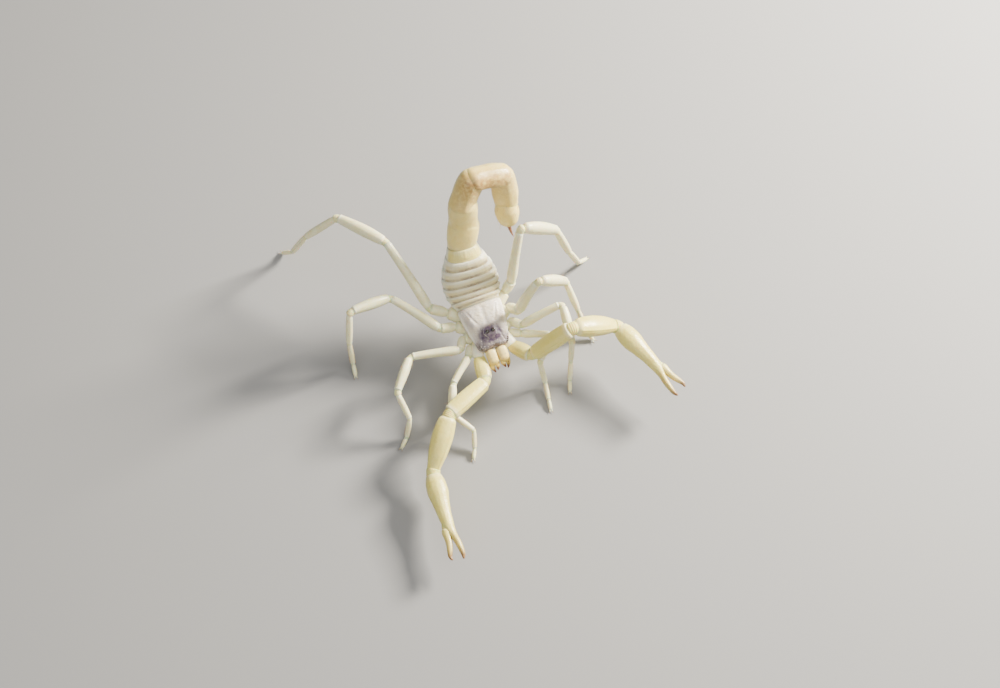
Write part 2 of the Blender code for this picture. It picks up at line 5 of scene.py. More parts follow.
import bpy
import numpy as np
from bpy.props import FloatProperty, FloatVectorProperty, IntProperty, PointerProperty
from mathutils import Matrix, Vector


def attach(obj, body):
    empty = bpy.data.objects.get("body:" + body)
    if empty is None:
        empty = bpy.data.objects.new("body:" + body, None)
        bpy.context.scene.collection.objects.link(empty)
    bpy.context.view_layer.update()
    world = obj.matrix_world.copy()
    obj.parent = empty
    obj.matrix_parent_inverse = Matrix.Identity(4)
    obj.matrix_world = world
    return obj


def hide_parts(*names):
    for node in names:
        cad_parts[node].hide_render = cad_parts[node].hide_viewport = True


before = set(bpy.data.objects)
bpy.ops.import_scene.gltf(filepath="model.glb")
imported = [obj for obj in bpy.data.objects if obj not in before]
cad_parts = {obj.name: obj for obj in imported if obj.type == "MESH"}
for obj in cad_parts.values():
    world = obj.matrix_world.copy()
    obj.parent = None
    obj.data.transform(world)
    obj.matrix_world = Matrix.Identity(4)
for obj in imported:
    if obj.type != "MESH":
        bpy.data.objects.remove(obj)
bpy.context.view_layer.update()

bl_info = {
    "name": "Desert Scorpion",
    "version": (1, 0, 0),
    "blender": (4, 5, 0),
    "location": "View3D > Sidebar > Scorpion",
    "description": "Shell plates, limbs, bristles, materials and stage of a desert scorpion",
    "category": "Add Mesh",
}

# Lengths are in millimetres, or in metres where they are multiplied by MM. Angles are in degrees.
MM = 0.001
SIDES = (("left", 1), ("right", -1))

# How far the whole model is moved to stand in the middle, then the head shield's middle, slope and length.
SHIFT = np.array((-0.546, 2.1426, 0.0)) * MM
HEAD = np.array((0.3, 0.0, 6.7)) * MM
HEAD_PITCH = 15
CARAPACE_LENGTH = 7.1 * MM
SHIELD_ROWS, SHIELD_COLS = 150, 132
# The middle eyes' place and radius, and the same for the three small eyes at each front corner.
MIDDLE_EYE = (0.44, -1.05, 1.93, 0.31)
SIDE_EYES = ((1.98, -3.12, 0.72, 0.13), (2.14, -2.84, 0.78, 0.12), (2.23, -2.58, 0.79, 0.09))
BROW_GRAINS, SHIELD_GRAINS = 16, 150

# Trunk rings from the head shield to the tail, and the trunk's half sizes at places counted in rings.
TRUNK_LENGTHS = (0.80, 1.00, 1.15, 1.30, 1.45, 1.55, 2.10)
TRUNK_RINGS = len(TRUNK_LENGTHS)
TRUNK_END_PITCH, TRUNK_END_TURN = 54, 6
TRUNK_WIDTHS = (
    (0, 3.35), (0.5, 3.5), (1.5, 3.85), (2.5, 4.1), (3.5, 4.15),
    (4.5, 3.95), (5.5, 3.45), (6.3, 2.75), (7, 2.2),
)
TRUNK_HEIGHTS = ((0, 1.95), (1.5, 2.15), (3.5, 2.3), (5.5, 2.25), (7, 1.98))
TRUNK_POWER = 2.2
# How high each plate stands over the trunk's outline, from its front to its rear.
BACK_LIFT = ((0, -0.18), (0.12, -0.11), (0.34, 0.02), (0.62, 0.13), (0.88, 0.12), (1, 0.0))
LAST_BACK_LIFT = ((0, -0.18), (0.2, -0.04), (0.6, 0.04), (0.85, 0.03), (1, -0.06))
BELLY_LIFT = ((0, -0.12), (0.15, -0.02), (0.8, 0.05), (1, 0.05))
FLANK_ROWS, FLANK_COLS = 190, 120

# The inner ends of the leg roots under the head shield, by leg.
ROOT_ENDS = {1: (0.42, -2.7, -1.75), 2: (0.45, -1.5, -1.85), 3: (0.85, 0.1, -1.85), 4: (0.95, 1.5, -1.85)}
BREASTPLATE_DEPTH = 1.86
GILL_COVER_DEPTH = 2.06
COMB_DEPTH = 2.62

# The pincer's fixed and moving finger: place beside the middle, length, bend, and the column of its surface
# that its teeth stand along.
PINCERS = (
    (-0.36, 1.15, 0.28, {"left": 10, "right": 0}),
    (0.40, 1.45, -0.42, {"left": 0, "right": 0}),
)

# Tail segments, then the sting's bulb and spine: length, width, height, heading and rise.
TAIL = (
    (3.8, 4.5, 4.0, 37, 66),
    (4.1, 4.2, 3.8, 20, 80),
    (4.2, 4.0, 3.7, 58, 55),
    (4.6, 3.8, 3.4, 88, -20),
    (5.5, 3.8, 3.2, 172, -76),
    (3.6, 3.3, 2.8, 189, -56),
    (2.4, 0.9, 0.9, 186, -54),
)
TAIL_RINGS = 5
TAIL_INSIDE = np.array((2.5, 6.0, 17.0)) * MM
# How far each ring arches inwards, and how much painted shade, in amber brown, it gets at its start and end.
TAIL_BOWS = (0, -0.10, -0.30, -0.26, -0.30)
TAIL_ARCH_SHADE = ((0, 0), (0.0, 0.12), (0.25, 1.0), (1.0, 0.70), (0.55, 0.05))
# The angles of the tail's main, side and lower keels.
MAIN_KEELS, SIDE_KEELS, LOW_KEELS = (48, 132, -38, 218), (8, 172), (-72, 252)

# Legs: hip beside the head shield, then the lengths and widths of the five pieces.
LEGS = {
    1: ((3.2, -1.9, -1.1), (6.2, 4.4, 4.0, 2.7, 1.6), (1.15, 1.30, 0.90, 0.75, 0.62)),
    2: ((3.8, -0.3, -1.1), (8.3, 5.7, 4.5, 3.2, 1.8), (1.25, 1.45, 0.95, 0.80, 0.65)),
    3: ((4.3, 1.7, -1.0), (10.3, 6.9, 5.8, 4.4, 2.1), (1.35, 1.60, 1.05, 0.85, 0.68)),
    4: ((4.7, 4.1, -0.9), (13.5, 8.4, 7.3, 5.4, 2.5), (1.45, 1.75, 1.15, 0.90, 0.70)),
}
# Sweep and rise of each leg piece. The last one reaches the floor by itself.
LEG_POSE = {
    ("left", 1): ((28, 5), (139, -17), (86, -60), (101, -9), (101, None)),
    ("left", 2): ((13, 24), (97, -15), (114, -75), (114, -50), (112, None)),
    ("left", 3): ((27, 66), (-8, -47), (70, -60), (68, -64), (66, None)),
    ("left", 4): ((-38, 72), (-6, -45), (18, -73), (-1, -70), (-26, None)),
    ("right", 1): ((45, -2), (66, -17), (126, -20), (70, -37), (62, None)),
    ("right", 2): ((2, 6), (50, -3), (99, -40), (52, -54), (42, None)),
    ("right", 3): ((-43, 13), (9, 19), (60, -63), (78, -72), (80, None)),
    ("right", 4): ((-68, 21), (-51, 0), (-17, -45), (-21, -62), (-40, None)),
}
# Length, sweep and rise of the short ring between each hip and its thigh.
HIP_RINGS = {
    ("left", 1): (1.5, 30, 0),
    ("left", 2): (1.9, 50, 12),
    ("left", 3): (2.3, 62, 34),
    ("left", 4): (2.2, -20, 58),
    ("right", 1): (1.5, 60, -2),
    ("right", 2): (1.9, 60, 0),
    ("right", 3): (2.1, -10, 6),
    ("right", 4): (2.5, -30, 16),
}
# How much of its width a leg piece is drawn back at a bend.
LEG_TRIM = 0.22
FOOT_PROFILES = (
    ((0, 0.66), (0.15, 0.92), (0.6, 1.0), (0.92, 0.86), (1, 0.7)),
    ((0, 0.70), (0.2, 0.95), (0.7, 1.0), (1, 0.8)),
    ((0, 0.70), (0.3, 1.0), (0.75, 0.95), (1, 0.6)),
)
LOWEST_CLAW_ROOT = 0.24 * MM
# Bristles and the feet's comb spines start at least this far above the floor, so that none reaches it.
FLOOR_CLEARANCE = 1.4 * MM
COMB_CLEARANCE = 0.35 * MM

ARM_ROOT = (2.5, -3.7, -1.3)
ARM_LENGTHS = (4.2, 7.8, 8.6, 13.6)
# Sweep and rise of each arm piece, the last being the hand.
ARM_POSE = {
    "left": ((59, 23), (1, 38), (2, -33), (69, -5)),
    "right": ((83, 6), (25, 9), (51, -20), (84, 2)),
}
PATELLA_PROFILE = ((0, 0.72), (0.12, 0.90), (0.38, 1.03), (0.66, 0.92), (0.88, 0.70), (1, 0.60))
# The pieces before the hand: name, width, height, profile, and how far each arches for its length.
ARM_PIECES = (
    ("trochanter", 2.1, 1.9, ((0, 0.78), (0.3, 0.94), (0.65, 1.04), (1, 0.90)), 0.02),
    ("femur", 2.45, 2.1, ((0, 0.80), (0.12, 0.90), (0.65, 1.02), (0.9, 0.98), (1, 0.88)), 0.02),
    ("patella", 2.95, 2.45, PATELLA_PROFILE, 0.03),
)
ARM_JOINT_WIDTHS = (2.45, 2.85, 2.5)
ARM_KEELS = (42, 138, -42, 222)
ARM_TRIM = 0.13
WRIST_WIDTH = 2.85
PALM_LENGTH, FINGER_LENGTH = 8.9, 4.7
CLAW_LENGTH = PALM_LENGTH + FINGER_LENGTH
FINGER_OPENING = {"left": 15, "right": 13}
FINGER_SWING = 7
# The hand and its fixed finger, by distance from the wrist: sideways shift, half width and half height.
HAND_SHIFTS = (
    (0, 0), (6.0, 0.0), (8.0, -0.10), (9.6, -0.34), (11.4, -0.56), (12.6, -0.58), (CLAW_LENGTH, -0.36)
)
HAND_WIDTHS = (
    (0.9, 1.22), (1.8, 1.44), (3.0, 1.50), (4.6, 1.24), (6.4, 1.00), (8.0, 0.86),
    (9.0, 0.70), (9.8, 0.50), (11.2, 0.44), (12.7, 0.33), (CLAW_LENGTH, 0.13),
)
HAND_HEIGHTS = (
    (0.9, 1.10), (1.8, 1.30), (3.0, 1.36), (4.6, 1.16), (6.4, 0.96), (8.0, 0.86),
    (9.0, 0.76), (9.9, 0.62), (11.4, 0.54), (12.7, 0.40), (CLAW_LENGTH, 0.15),
)
HAND_ROWS, HAND_COLS = 190, 64
FINGER_ROWS, FINGER_COLS = 120, 48
FINGER_WIDTHS = ((0, 0.60), (0.12, 0.62), (0.3, 0.50), (0.6, 0.42), (0.82, 0.32), (1, 0.13))

# Which skins grow bristles: name, node, how the skins' names start, density and length.
BRISTLES = (
    ("leg_bristles", "leg_3_left_femur", ("leg_",), 1.0, 0.75),
    ("arm_bristles", "arm_left_femur", ("arm_", "claw_", "mouthpart_"), 0.8, 1.15),
    ("body_bristles", "tail_2", ("tail_", "sting_", "back_", "head_", "comb_"), 0.8, 1.0),
)
BRISTLE_RADIUS = 0.014 * MM
BRISTLE_LEAN = 1.1
# How much of the unwrap each bristle takes.
BRISTLE_PATCH = 0.0014

# The stage, in metres: half the floor's side, where the camera looks, its angles and distance, its lens and
# sensor in millimetres, and how near it sees. A lamp has a name, place, width, power and tint.
FLOOR_HALF_SIZE = 1.2
CAMERA_AIM = Vector((1.654, 1.543, 0.0)) * MM
CAMERA_TURN, CAMERA_RISE, CAMERA_REACH = -22, 66, 0.230
CAMERA_LENS, CAMERA_SENSOR, CAMERA_CLIP = 55.2, 36, 0.005
LAMPS = (
    ("key", (0.225, 0.035, 0.125), 0.06, 4.3, (1.0, 0.95, 0.86)),
    ("fill", (-0.22, -0.20, 0.24), 0.30, 0.60, (0.97, 0.97, 1.0)),
    ("top", (0.08, -0.10, 0.36), 0.35, 1.05, (1.0, 0.98, 0.92)),
)
WORLD_TINT, WORLD_STRENGTH = (0.90, 0.93, 1.0, 1), 0.27

# How bristles grow on each finished skin: their lie, how many, and where each point lies on the unwrap.
KEPT = {}


class ScorpionShape(bpy.types.PropertyGroup):
    """Sizes of the surface detail."""

    keel: FloatProperty(
        name="Keel height", description="How far the ridges of the tail and arms stand out",
        default=0.00013, unit="LENGTH",
    )
    grain: FloatProperty(
        name="Grain height", description="Height of the fine bumps of the shell",
        default=0.00003, unit="LENGTH",
    )
    tooth: FloatProperty(
        name="Tooth size", description="Height of the teeth along the fingers",
        default=0.00016, unit="LENGTH",
    )
    bristle: FloatProperty(
        name="Bristle length", description="Length of an ordinary bristle",
        default=0.0008, unit="LENGTH",
    )
    bristle_density: FloatProperty(
        name="Bristles", description="Bristles on each square millimetre of limb", default=0.55
    )
    seed: IntProperty(name="Seed", description="Order of the random places and sizes", default=4)


def colour(name, text, value):
    return FloatVectorProperty(
        name=name, description=text, subtype="COLOR", size=3, min=0, max=1, default=value
    )


class ScorpionColours(bpy.types.PropertyGroup):
    """Colours of the shell and what grows on it."""

    leg: colour("Legs", "Pale greenish ivory of the legs", (0.78, 0.75, 0.48))
    arm: colour("Arms", "Straw yellow of the arms and claws", (0.73, 0.64, 0.19))
    tail: colour("Tail", "Cream of the tail", (0.82, 0.67, 0.24))
    trunk: colour("Trunk", "Beige of the back plates", (0.69, 0.595, 0.35))
    head: colour("Head", "Pale lilac cream of the head shield", (0.64, 0.57, 0.49))
    mouth: colour("Mouthparts", "Yellow of the mouthparts", (0.74, 0.55, 0.13))
    # Painted shade: this amber brown stands in for the shade inside the tail's arch.
    amber: colour("Amber", "Amber brown where the tail arches over", (0.36, 0.185, 0.050))
    # This violet also darkens the shield's front, partly as painted shade.
    violet: colour("Violet marks", "Dusky violet round the eyes", (0.055, 0.028, 0.064))
    # The bands are partly the back's own grey brown and partly painted shade in the grooves.
    band: colour("Bands", "Warm grey brown of the bands across the back", (0.27, 0.20, 0.135))
    dusk: colour("Dusky marks", "Grey brown of the bands and marks", (0.115, 0.075, 0.085))
    tip: colour("Tips", "Reddish brown of the finger tips and the spine", (0.17, 0.060, 0.028))
    skin: colour("Joint skin", "Soft skin between the plates", (0.70, 0.65, 0.50))
    bristle: colour("Bristles", "Amber of the bristles", (0.35, 0.20, 0.08))
    floor: colour("Floor", "Pale stage floor", (0.265, 0.26, 0.25))


def unit(v):
    return v / np.linalg.norm(v)


def heading(turn, rise):
    """The unit vector at a turn from +Y towards +X and a rise above the floor."""
    turn, rise = math.radians(turn), math.radians(rise)
    return np.array((math.sin(turn) * math.cos(rise), math.cos(turn) * math.cos(rise), math.sin(rise)))


def outward(side, sweep, rise):
    return heading(side * (90 + sweep), rise)


def square_to(way, hint):
    return unit(hint - way * np.dot(hint, way))


def head_point(x, y, z):
    """A point beside the head shield, given in its own frame."""
    c, s = math.cos(math.radians(HEAD_PITCH)), math.sin(math.radians(HEAD_PITCH))
    return HEAD + SHIFT + np.array((x, y * c - z * s, y * s + z * c)) * MM


HEAD_BACK = unit(head_point(0, 1, 0) - head_point(0, 0, 0))
HEAD_UP = unit(head_point(0, 0, 1) - head_point(0, 0, 0))


def smooth(t, keys):
    """A smooth curve through (place, value) keys that never overshoots them."""
    x, y = np.array(keys, float).T
    gap = np.diff(x)
    slope = np.diff(y) / gap
    tangent = np.concatenate([slope[:1], np.zeros(len(x) - 2), slope[-1:]])
    for k in range(1, len(x) - 1):
        if slope[k - 1] * slope[k] > 0:
            tangent[k] = 2 * slope[k - 1] * slope[k] / (slope[k - 1] + slope[k])
    t = np.clip(t, x[0], x[-1])
    k = np.clip(np.searchsorted(x, t, "right") - 1, 0, len(gap) - 1)
    u = (t - x[k]) / gap[k]
    rise = (2 * u**3 - 3 * u**2 + 1) * y[k] + (3 * u**2 - 2 * u**3) * y[k + 1]
    return rise + gap[k] * ((u**3 - 2 * u**2 + u) * tangent[k] + (u**3 - u**2) * tangent[k + 1])


def step(t, low, high):
    """0 below low, 1 above high, and smooth between."""
    u = np.clip((t - low) / (high - low), 0, 1)
    return u * u * (3 - 2 * u)


def between(t, start, full, fading, gone):
    """Rises from 0 at start to 1 at full, and falls back from fading to gone."""
    return step(t, start, full) * (1 - step(t, fading, gone))


def hump(t, middle, width):
    """1 at the middle, falling smoothly on both sides to nearly 0 at twice the width."""
    return np.exp(-(((t - middle) / width) ** 2))


def spot(x, y, middle, size):
    """1 at the middle point, falling smoothly all round to nearly 0 at twice the size."""
    return np.exp(-(((x - middle[0]) / size[0]) ** 2) - ((y - middle[1]) / size[1]) ** 2)


def hashed(cells, seed):
    mixed = cells[..., 0] * 73856093 ^ cells[..., 1] * 19349663 ^ cells[..., 2] * 83492791 ^ seed * 2654435
    mixed = (mixed ^ (mixed >> 13)) * 1274126177
    return ((mixed ^ (mixed >> 16)) & 0xFFFF) / 65535.0


def grain(points, size, seed=1):
    """Smooth noise from 0 to 1 with features of about the given size."""
    scaled = points / size
    cell = np.floor(scaled).astype(np.int64)
    u = scaled - cell
    u = u * u * (3 - 2 * u)
    total = 0.0
    for corner in range(8):
        offset = np.array((corner & 1, corner >> 1 & 1, corner >> 2))
        weight = np.prod(np.where(offset, u, 1 - u), axis=-1)
        total = total + weight * hashed(cell + offset, seed)
    return total


def fine_grain(points):
    """Two sizes of the shell's fine bumps together."""
    return grain(points, 0.16 * MM, 3) + 0.6 * grain(points, 0.07 * MM, 5)


def keels(s, degrees, ridges):
    """Ridges along a piece: (angle, height, width in degrees, start, end, beads)."""
    total = np.zeros(np.broadcast(s, degrees).shape)
    for angle, height, width, start, end, beads in ridges:
        off = (degrees - angle + 180) % 360 - 180
        along = between(s, start - 0.03, start + 0.06, end - 0.06, end + 0.03)
        bead = 0.62 + 0.38 * np.cos(math.tau * beads * s) if beads else 1.0
        total = total + height * hump(off, 0, width) * along * bead
    return total


def ridges_at(angles, height, width, start, end):
    return [(angle, height, width, start, end, 0) for angle in angles]


def in_scene(name, data):
    made = bpy.data.objects.new(name, data)
    bpy.context.scene.collection.objects.link(made)
    return made


def mesh_of(name, points, corners, sizes):
    """A mesh of its points, the corners of all its faces in order, and how many corners each face has."""
    mesh = bpy.data.meshes.new(name)
    mesh.vertices.add(len(points))
    mesh.vertices.foreach_set("co", points.astype(np.float32).reshape(-1))
    mesh.loops.add(len(corners))
    mesh.loops.foreach_set("vertex_index", corners)
    mesh.polygons.add(len(sizes))
    mesh.polygons.foreach_set("loop_start", np.concatenate([[0], np.cumsum(sizes)[:-1]]).astype(np.int32))
    mesh.update(calc_edges=True)
    return mesh


def store(mesh, name, kind, values):
    """Keeps a value at each point of the mesh."""
    layer = mesh.attributes.new(name, kind, "POINT")
    key = "value" if kind == "FLOAT" else "vector"
    layer.data.foreach_set(key, values.astype(np.float32).reshape(-1))


class Shape:
    """Collects closed shells, with their marks, into one mesh."""

    def __init__(self):
        self.points, self.quads, self.tris, self.slots = [], [], [], []
        self.marks, self.lies, self.grows, self.wraps = [], [], [], []
        self.count = 0
        self.shells = 0

    def grid(self, points, marks=None, lie=None, grow=0.0, slot=0):
        """Adds a tube of rows of points, closed round and at both ends."""
        rows, cols, _ = points.shape
        first = self.count
        index = first + np.arange(rows * cols).reshape(rows, cols)
        after = np.roll(index, -1, axis=1)
        quads = np.stack([index[:-1], index[1:], after[1:], after[:-1]], -1).reshape(-1, 4)
        start, end = first + rows * cols, first + rows * cols + 1
        tris = np.concatenate([
            np.stack([np.full(cols, start), index[0], after[0]], -1),
            np.stack([np.full(cols, end), after[-1], index[-1]], -1),
        ])
        poles = np.stack([points[0].mean(0), points[-1].mean(0)])
        corners = np.concatenate([points.reshape(-1, 3), poles])
        every = np.concatenate([quads[:, :3], quads[:, [0, 2, 3]], tris]) - first
        if np.linalg.det((corners - corners.mean(0))[every]).sum() < 0:
            quads, tris = quads[:, ::-1], tris[:, ::-1]
        self.points.append(corners)
        self.quads.append(quads)
        self.tris.append(tris)
        self.slots.append((len(quads), 2 * cols, slot))
        marks = np.zeros((rows, cols, 3)) if marks is None else np.broadcast_to(marks, (rows, cols, 3))
        self.marks.append(np.concatenate([marks.reshape(-1, 3), marks[0, :1], marks[-1, :1]]))
        lie = unit(points[-1].mean(0) - points[0].mean(0)) if lie is None else lie
        self.lies.append(np.broadcast_to(lie, (rows * cols + 2, 3)))
        grow = np.broadcast_to(grow, (rows, cols)).reshape(-1)
        self.grows.append(np.concatenate([grow, (0.0, 0.0)]))
        s, u = np.meshgrid(np.linspace(0, 1, rows), np.linspace(0, 1, cols), indexing="ij")
        tile = np.array((self.shells % 8, self.shells // 8 % 8)) / 8
        wrap = np.stack([u.reshape(-1), s.reshape(-1)], -1) * 0.115 + 0.005 + tile
        self.wraps.append(np.concatenate([wrap, wrap[:1], wrap[-1:]]))
        self.count += rows * cols + 2
        self.shells += 1

    def flatten_bottom(self):
        """Lifts whatever would sink below the floor up to it."""
        for points in self.points:
            points[:, 2] = np.maximum(points[:, 2], 0.0)

    def finish(self, name, *coats):
        """Makes the shells into one piece that wears the named coats."""
        materials = [coat_named(coat) for coat in coats]
        corners, sizes, slots = [], [], []
        for quads, tris, (quad_count, tri_count, slot) in zip(self.quads, self.tris, self.slots):
            corners += [quads.reshape(-1), tris.reshape(-1)]
            sizes += [np.full(quad_count, 4), np.full(tri_count, 3)]
            slots.append(np.full(quad_count + tri_count, slot))
        corners, sizes, slots = (np.concatenate(part).astype(np.int32) for part in (corners, sizes, slots))
        mesh = mesh_of(name, np.concatenate(self.points), corners, sizes)
        mesh.polygons.foreach_set("material_index", slots)
        mesh.shade_smooth()
        store(mesh, "marks", "FLOAT_VECTOR", np.concatenate(self.marks))
        KEPT[name] = {
            "lie": np.concatenate(self.lies),
            "grow": np.concatenate(self.grows),
            "wrap": np.concatenate(self.wraps),
        }
        for material in materials:
            mesh.materials.append(material)
        return in_scene(name, mesh)


def section(degrees, power, belly=1.0):
    """Points of a rounded outline: across and up, with the lower half flattened by belly."""
    angle = np.radians(degrees)
    c, s = np.cos(angle), np.sin(angle)
    x = np.sign(c) * np.abs(c) ** (2 / power)
    z = np.sign(s) * np.abs(s) ** (2 / power)
    return x, np.where(z < 0, z * belly, z)


def sweep(centres, ups, wide, high, cols, power=2.0, belly=1.0):
    """Points, outward directions and angles of a tube along centres. Half sizes are given at each row."""
    way = np.gradient(centres, axis=0)
    way /= np.linalg.norm(way, axis=1, keepdims=True)
    ups = np.broadcast_to(ups, centres.shape)
    up = ups - way * (ups * way).sum(1, keepdims=True)
    up /= np.linalg.norm(up, axis=1, keepdims=True)
    across = np.cross(way, up)
    degrees = np.arange(cols) * 360 / cols
    x, z = section(degrees, power, belly)
    wide, high = wide.reshape(-1, 1), high.reshape(-1, 1)
    offset = (x * wide)[..., None] * across[:, None] + (z * high)[..., None] * up[:, None]
    nx, nz = x * high, z * wide
    normal = nx[..., None] * across[:, None] + nz[..., None] * up[:, None]
    normal /= np.linalg.norm(normal, axis=-1, keepdims=True) + 1e-12
    return centres[:, None] + offset, normal, degrees


def rounded(t, length, start, end):
    """Shrinks a piece towards both ends like an egg. The caps are lengths."""
    near = np.clip(t * length / start, 0, 1)
    far = np.clip((1 - t) * length / end, 0, 1)
    return np.sqrt(np.clip(1 - (1 - near) ** 2, 0.0004, 1)) * np.sqrt(np.clip(1 - (1 - far) ** 2, 0.0004, 1))


def limb_up(way):
    return square_to(way, np.array((0, 0, 1.0)) if abs(way[2]) < 0.97 else np.array((0, -1.0, 0)))


def limb(shape, a, b, width, height, profile, rows, cols, **extra):
    """One shell piece of a limb from a to b, in full widths and heights."""
    way, length = unit(b - a), np.linalg.norm(b - a)
    up = extra.get("up", limb_up(way))
    t = (1 - np.cos(np.pi * np.linspace(0, 1, rows))) / 2
    arch = 4 * t * (1 - t) * extra.get("bow", 0.0)
    centres = a + np.outer(t * length, way) + np.outer(arch * MM, up)
    caps = extra.get("caps", (0.8, 0.8))
    half = min(width, height) / 2 * MM
    size = smooth(t, profile) * rounded(t, length, caps[0] * half, caps[1] * half)
    power = extra.get("power", 2.3)
    points, normal, degrees = sweep(centres, up, width / 2 * MM * size, height / 2 * MM * size, cols, power)
    s, angles = t[:, None], degrees[None]
    lift = keels(s, angles, extra.get("ridges", ()))
    rough = extra.get("rough", 0.3) * bpy.context.scene.scorpion_shape.grain
    lift = lift + rough * (fine_grain(points) - 0.8) * step(size[:, None], 0.2, 0.8)
    for middle, depth, span in extra.get("rims", ()):
        lift = lift + depth * np.exp(-(((s - middle) * length / (span * MM)) ** 2))
    points = points + normal * (lift * step(size, 0.15, 0.6)[:, None])[..., None]
    paint = extra.get("paint")
    shape.grid(points, paint(s, angles) if paint else None, way, extra.get("grow", 0.0))
    return points, normal


def channels(s, degrees, dusk=0.0, pale=0.0, dark=0.0):
    """Marks of a shell: how dusky, how pale and how dark each point is. On the tail, the back plates and the
    head shield the dusky share carries painted shade, and on the back plates the pale share carries a painted
    highlight.
    """
    full = np.broadcast(s, degrees).shape
    return np.stack([np.broadcast_to(np.clip(part, 0, 1), full) for part in (dusk, pale, dark)], -1)


def sleeve(shape, a, joint, b, first, second, rings=7):
    """Soft wrinkled skin that bridges two pieces round their joint."""
    t = np.linspace(0, 1, 36)[:, None]
    joint = joint * 0.8 + (a + b) * 0.1
    centres = (1 - t) ** 2 * a + 2 * t * (1 - t) * joint + t**2 * b
    t = t[:, 0]
    wrinkles = 1 + 0.022 * np.cos(math.tau * rings * t)
    size = (first + (second - first) * t) * MM * rounded(t, 1, 0.22, 0.22) * wrinkles
    way = unit(b - a)
    shape.grid(sweep(centres, limb_up(way), size, size, 24)[0], None, way, 0.0, 1)


def bridge(shape, end, way, joint, onward, depths, first, second):
    """A sleeve from inside the end of one piece, round the joint, into the next, which heads onward."""
    inside, ahead = depths
    after = joint + unit(onward - joint) * ahead * MM
    sleeve(shape, end - way * inside * MM, joint, after, first, second)


def trim(points, k, share, gap):
    """The ends of piece k, drawn back from its joints where the limb bends."""
    a, b = points[k], points[k + 1]
    way = unit(b - a)
    before = points[k - 1] if k else None
    after = points[k + 2] if k + 2 < len(points) else None
    backs = []
    for joint, other in ((a, before), (b, after)):
        back = gap * MM
        if other is not None:
            along = unit(joint - other) if joint is a else unit(other - joint)
            bend = math.acos(max(-1, min(1, float(np.dot(way, along)))))
            back += share * MM * math.tan(bend / 2)
        backs.append(back)
    return a + way * backs[0], b - way * backs[1]


def chain(side, root, lengths, pose, toe=0.0):
    """The joints of a limb from its root. A piece with no rise of its own comes down to the toe's height."""
    point = head_point(side * root[0], root[1], root[2])
    points = [point]
    for length, (turn, rise) in zip(lengths, pose):
        if rise is None:
            rise = math.degrees(math.asin((toe - point[2]) / (length * MM)))
        point = point + outward(side, turn, rise) * length * MM
        points.append(point)
    return points


def place(made, slot, *nodes):
    """Rides a finished piece on the frame."""
    if nodes:
        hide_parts(*nodes)
    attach(made, "root")


def horn(shape, start, way, toward, length, bend, first, last, rows, cols, **extra):
    """A tapering curved horn, such as a claw, spur or sting."""
    t = np.linspace(0, 1, rows)
    toward = square_to(way, toward)
    centres = start + np.outer(t * length * MM, way) + np.outer(t**2 * bend * MM, toward)
    size = (last + (first - last) * smooth(t, extra.get("profile", ((0, 1), (1, 0))))) * MM
    size = size * rounded(t, length, 0.3 * first, 0.8 * last + 0.01)
    points, _, degrees = sweep(centres, toward, size, size * extra.get("flat", 1.0), cols)
    dark = extra.get("dark")
    marks = channels(t[:, None], degrees[None], dark=dark(t)[:, None]) if dark else None
    shape.grid(points, marks, way)
    return points


def ball(shape, middle, axis, radius, cols):
    """A ball with its poles on the axis."""
    t = np.linspace(0, 1, 25)
    line = middle + np.outer(-np.cos(np.pi * t) * radius * MM, axis)
    ring = np.sin(np.pi * t) * radius * MM + 1e-6
    shape.grid(sweep(line, HEAD_BACK, ring, ring, cols)[0])


class Rows:
    """Collects the lines along which beads, teeth or combs stand."""

    def __init__(self):
        self.points, self.edges, self.aims, self.sizes = [], [], [], []
        self.count = 0

    def add(self, points, aims, size=1.0):
        n = len(points)
        self.points.append(points)
        self.aims.append(np.broadcast_to(aims, points.shape))
        self.sizes.append(np.broadcast_to(size, n))
        self.edges += [(self.count + k, self.count + k + 1) for k in range(n - 1)]
        self.count += n

    def ridges(self, surface, normal, angles, start, end, size):
        """Adds the lines of a surface at these angles, from one row to another."""
        cols = surface.shape[1]
        for angle in angles:
            column = round(angle * cols / 360) % cols
            self.add(surface[start:end, column], normal[start:end, column], size)

    def host(self, name):
        mesh = bpy.data.meshes.new(name)
        mesh.from_pydata(np.concatenate(self.points).tolist(), self.edges, [])
        store(mesh, "aim", "FLOAT_VECTOR", np.concatenate(self.aims))
        store(mesh, "size", "FLOAT", np.concatenate(self.sizes))
        return in_scene(name, mesh)

    def grow(self, name, coat, spacing, width, height, point, seed):
        """Stands a bead or tooth at each spacing along the lines. Its sizes are in metres."""
        return bead_tree().grow_on(
            self.host(f"{name}_lines"), name, Spacing=spacing, Width=width, Height=height, Point=point,
            Seed=seed, Material=coat_named(coat),
        )


class Nodes:
    """Adds and links the nodes of one tree, which is kept as self.tree."""

    def node(self, kind, settings=None, **inputs):
        """Adds a node. An input is named, with spaces as underscores, or numbered as in1."""
        made = self.tree.nodes.new(kind)
        for key, value in (settings or {}).items():
            setattr(made, key, value)
        for key, value in inputs.items():
            numbered = key.startswith("in") and key[2:].isdigit()
            socket = made.inputs[int(key[2:])] if numbered else made.inputs[key.replace("_", " ")]
            if isinstance(value, bpy.types.NodeSocket):
                self.tree.links.new(value, socket)
            else:
                socket.default_value = value
        return made

    def sums(self, operation, *values):
        inputs = {f"in{k}": value for k, value in enumerate(values)}
        return self.node("ShaderNodeMath", {"operation": operation}, **inputs).outputs[0]


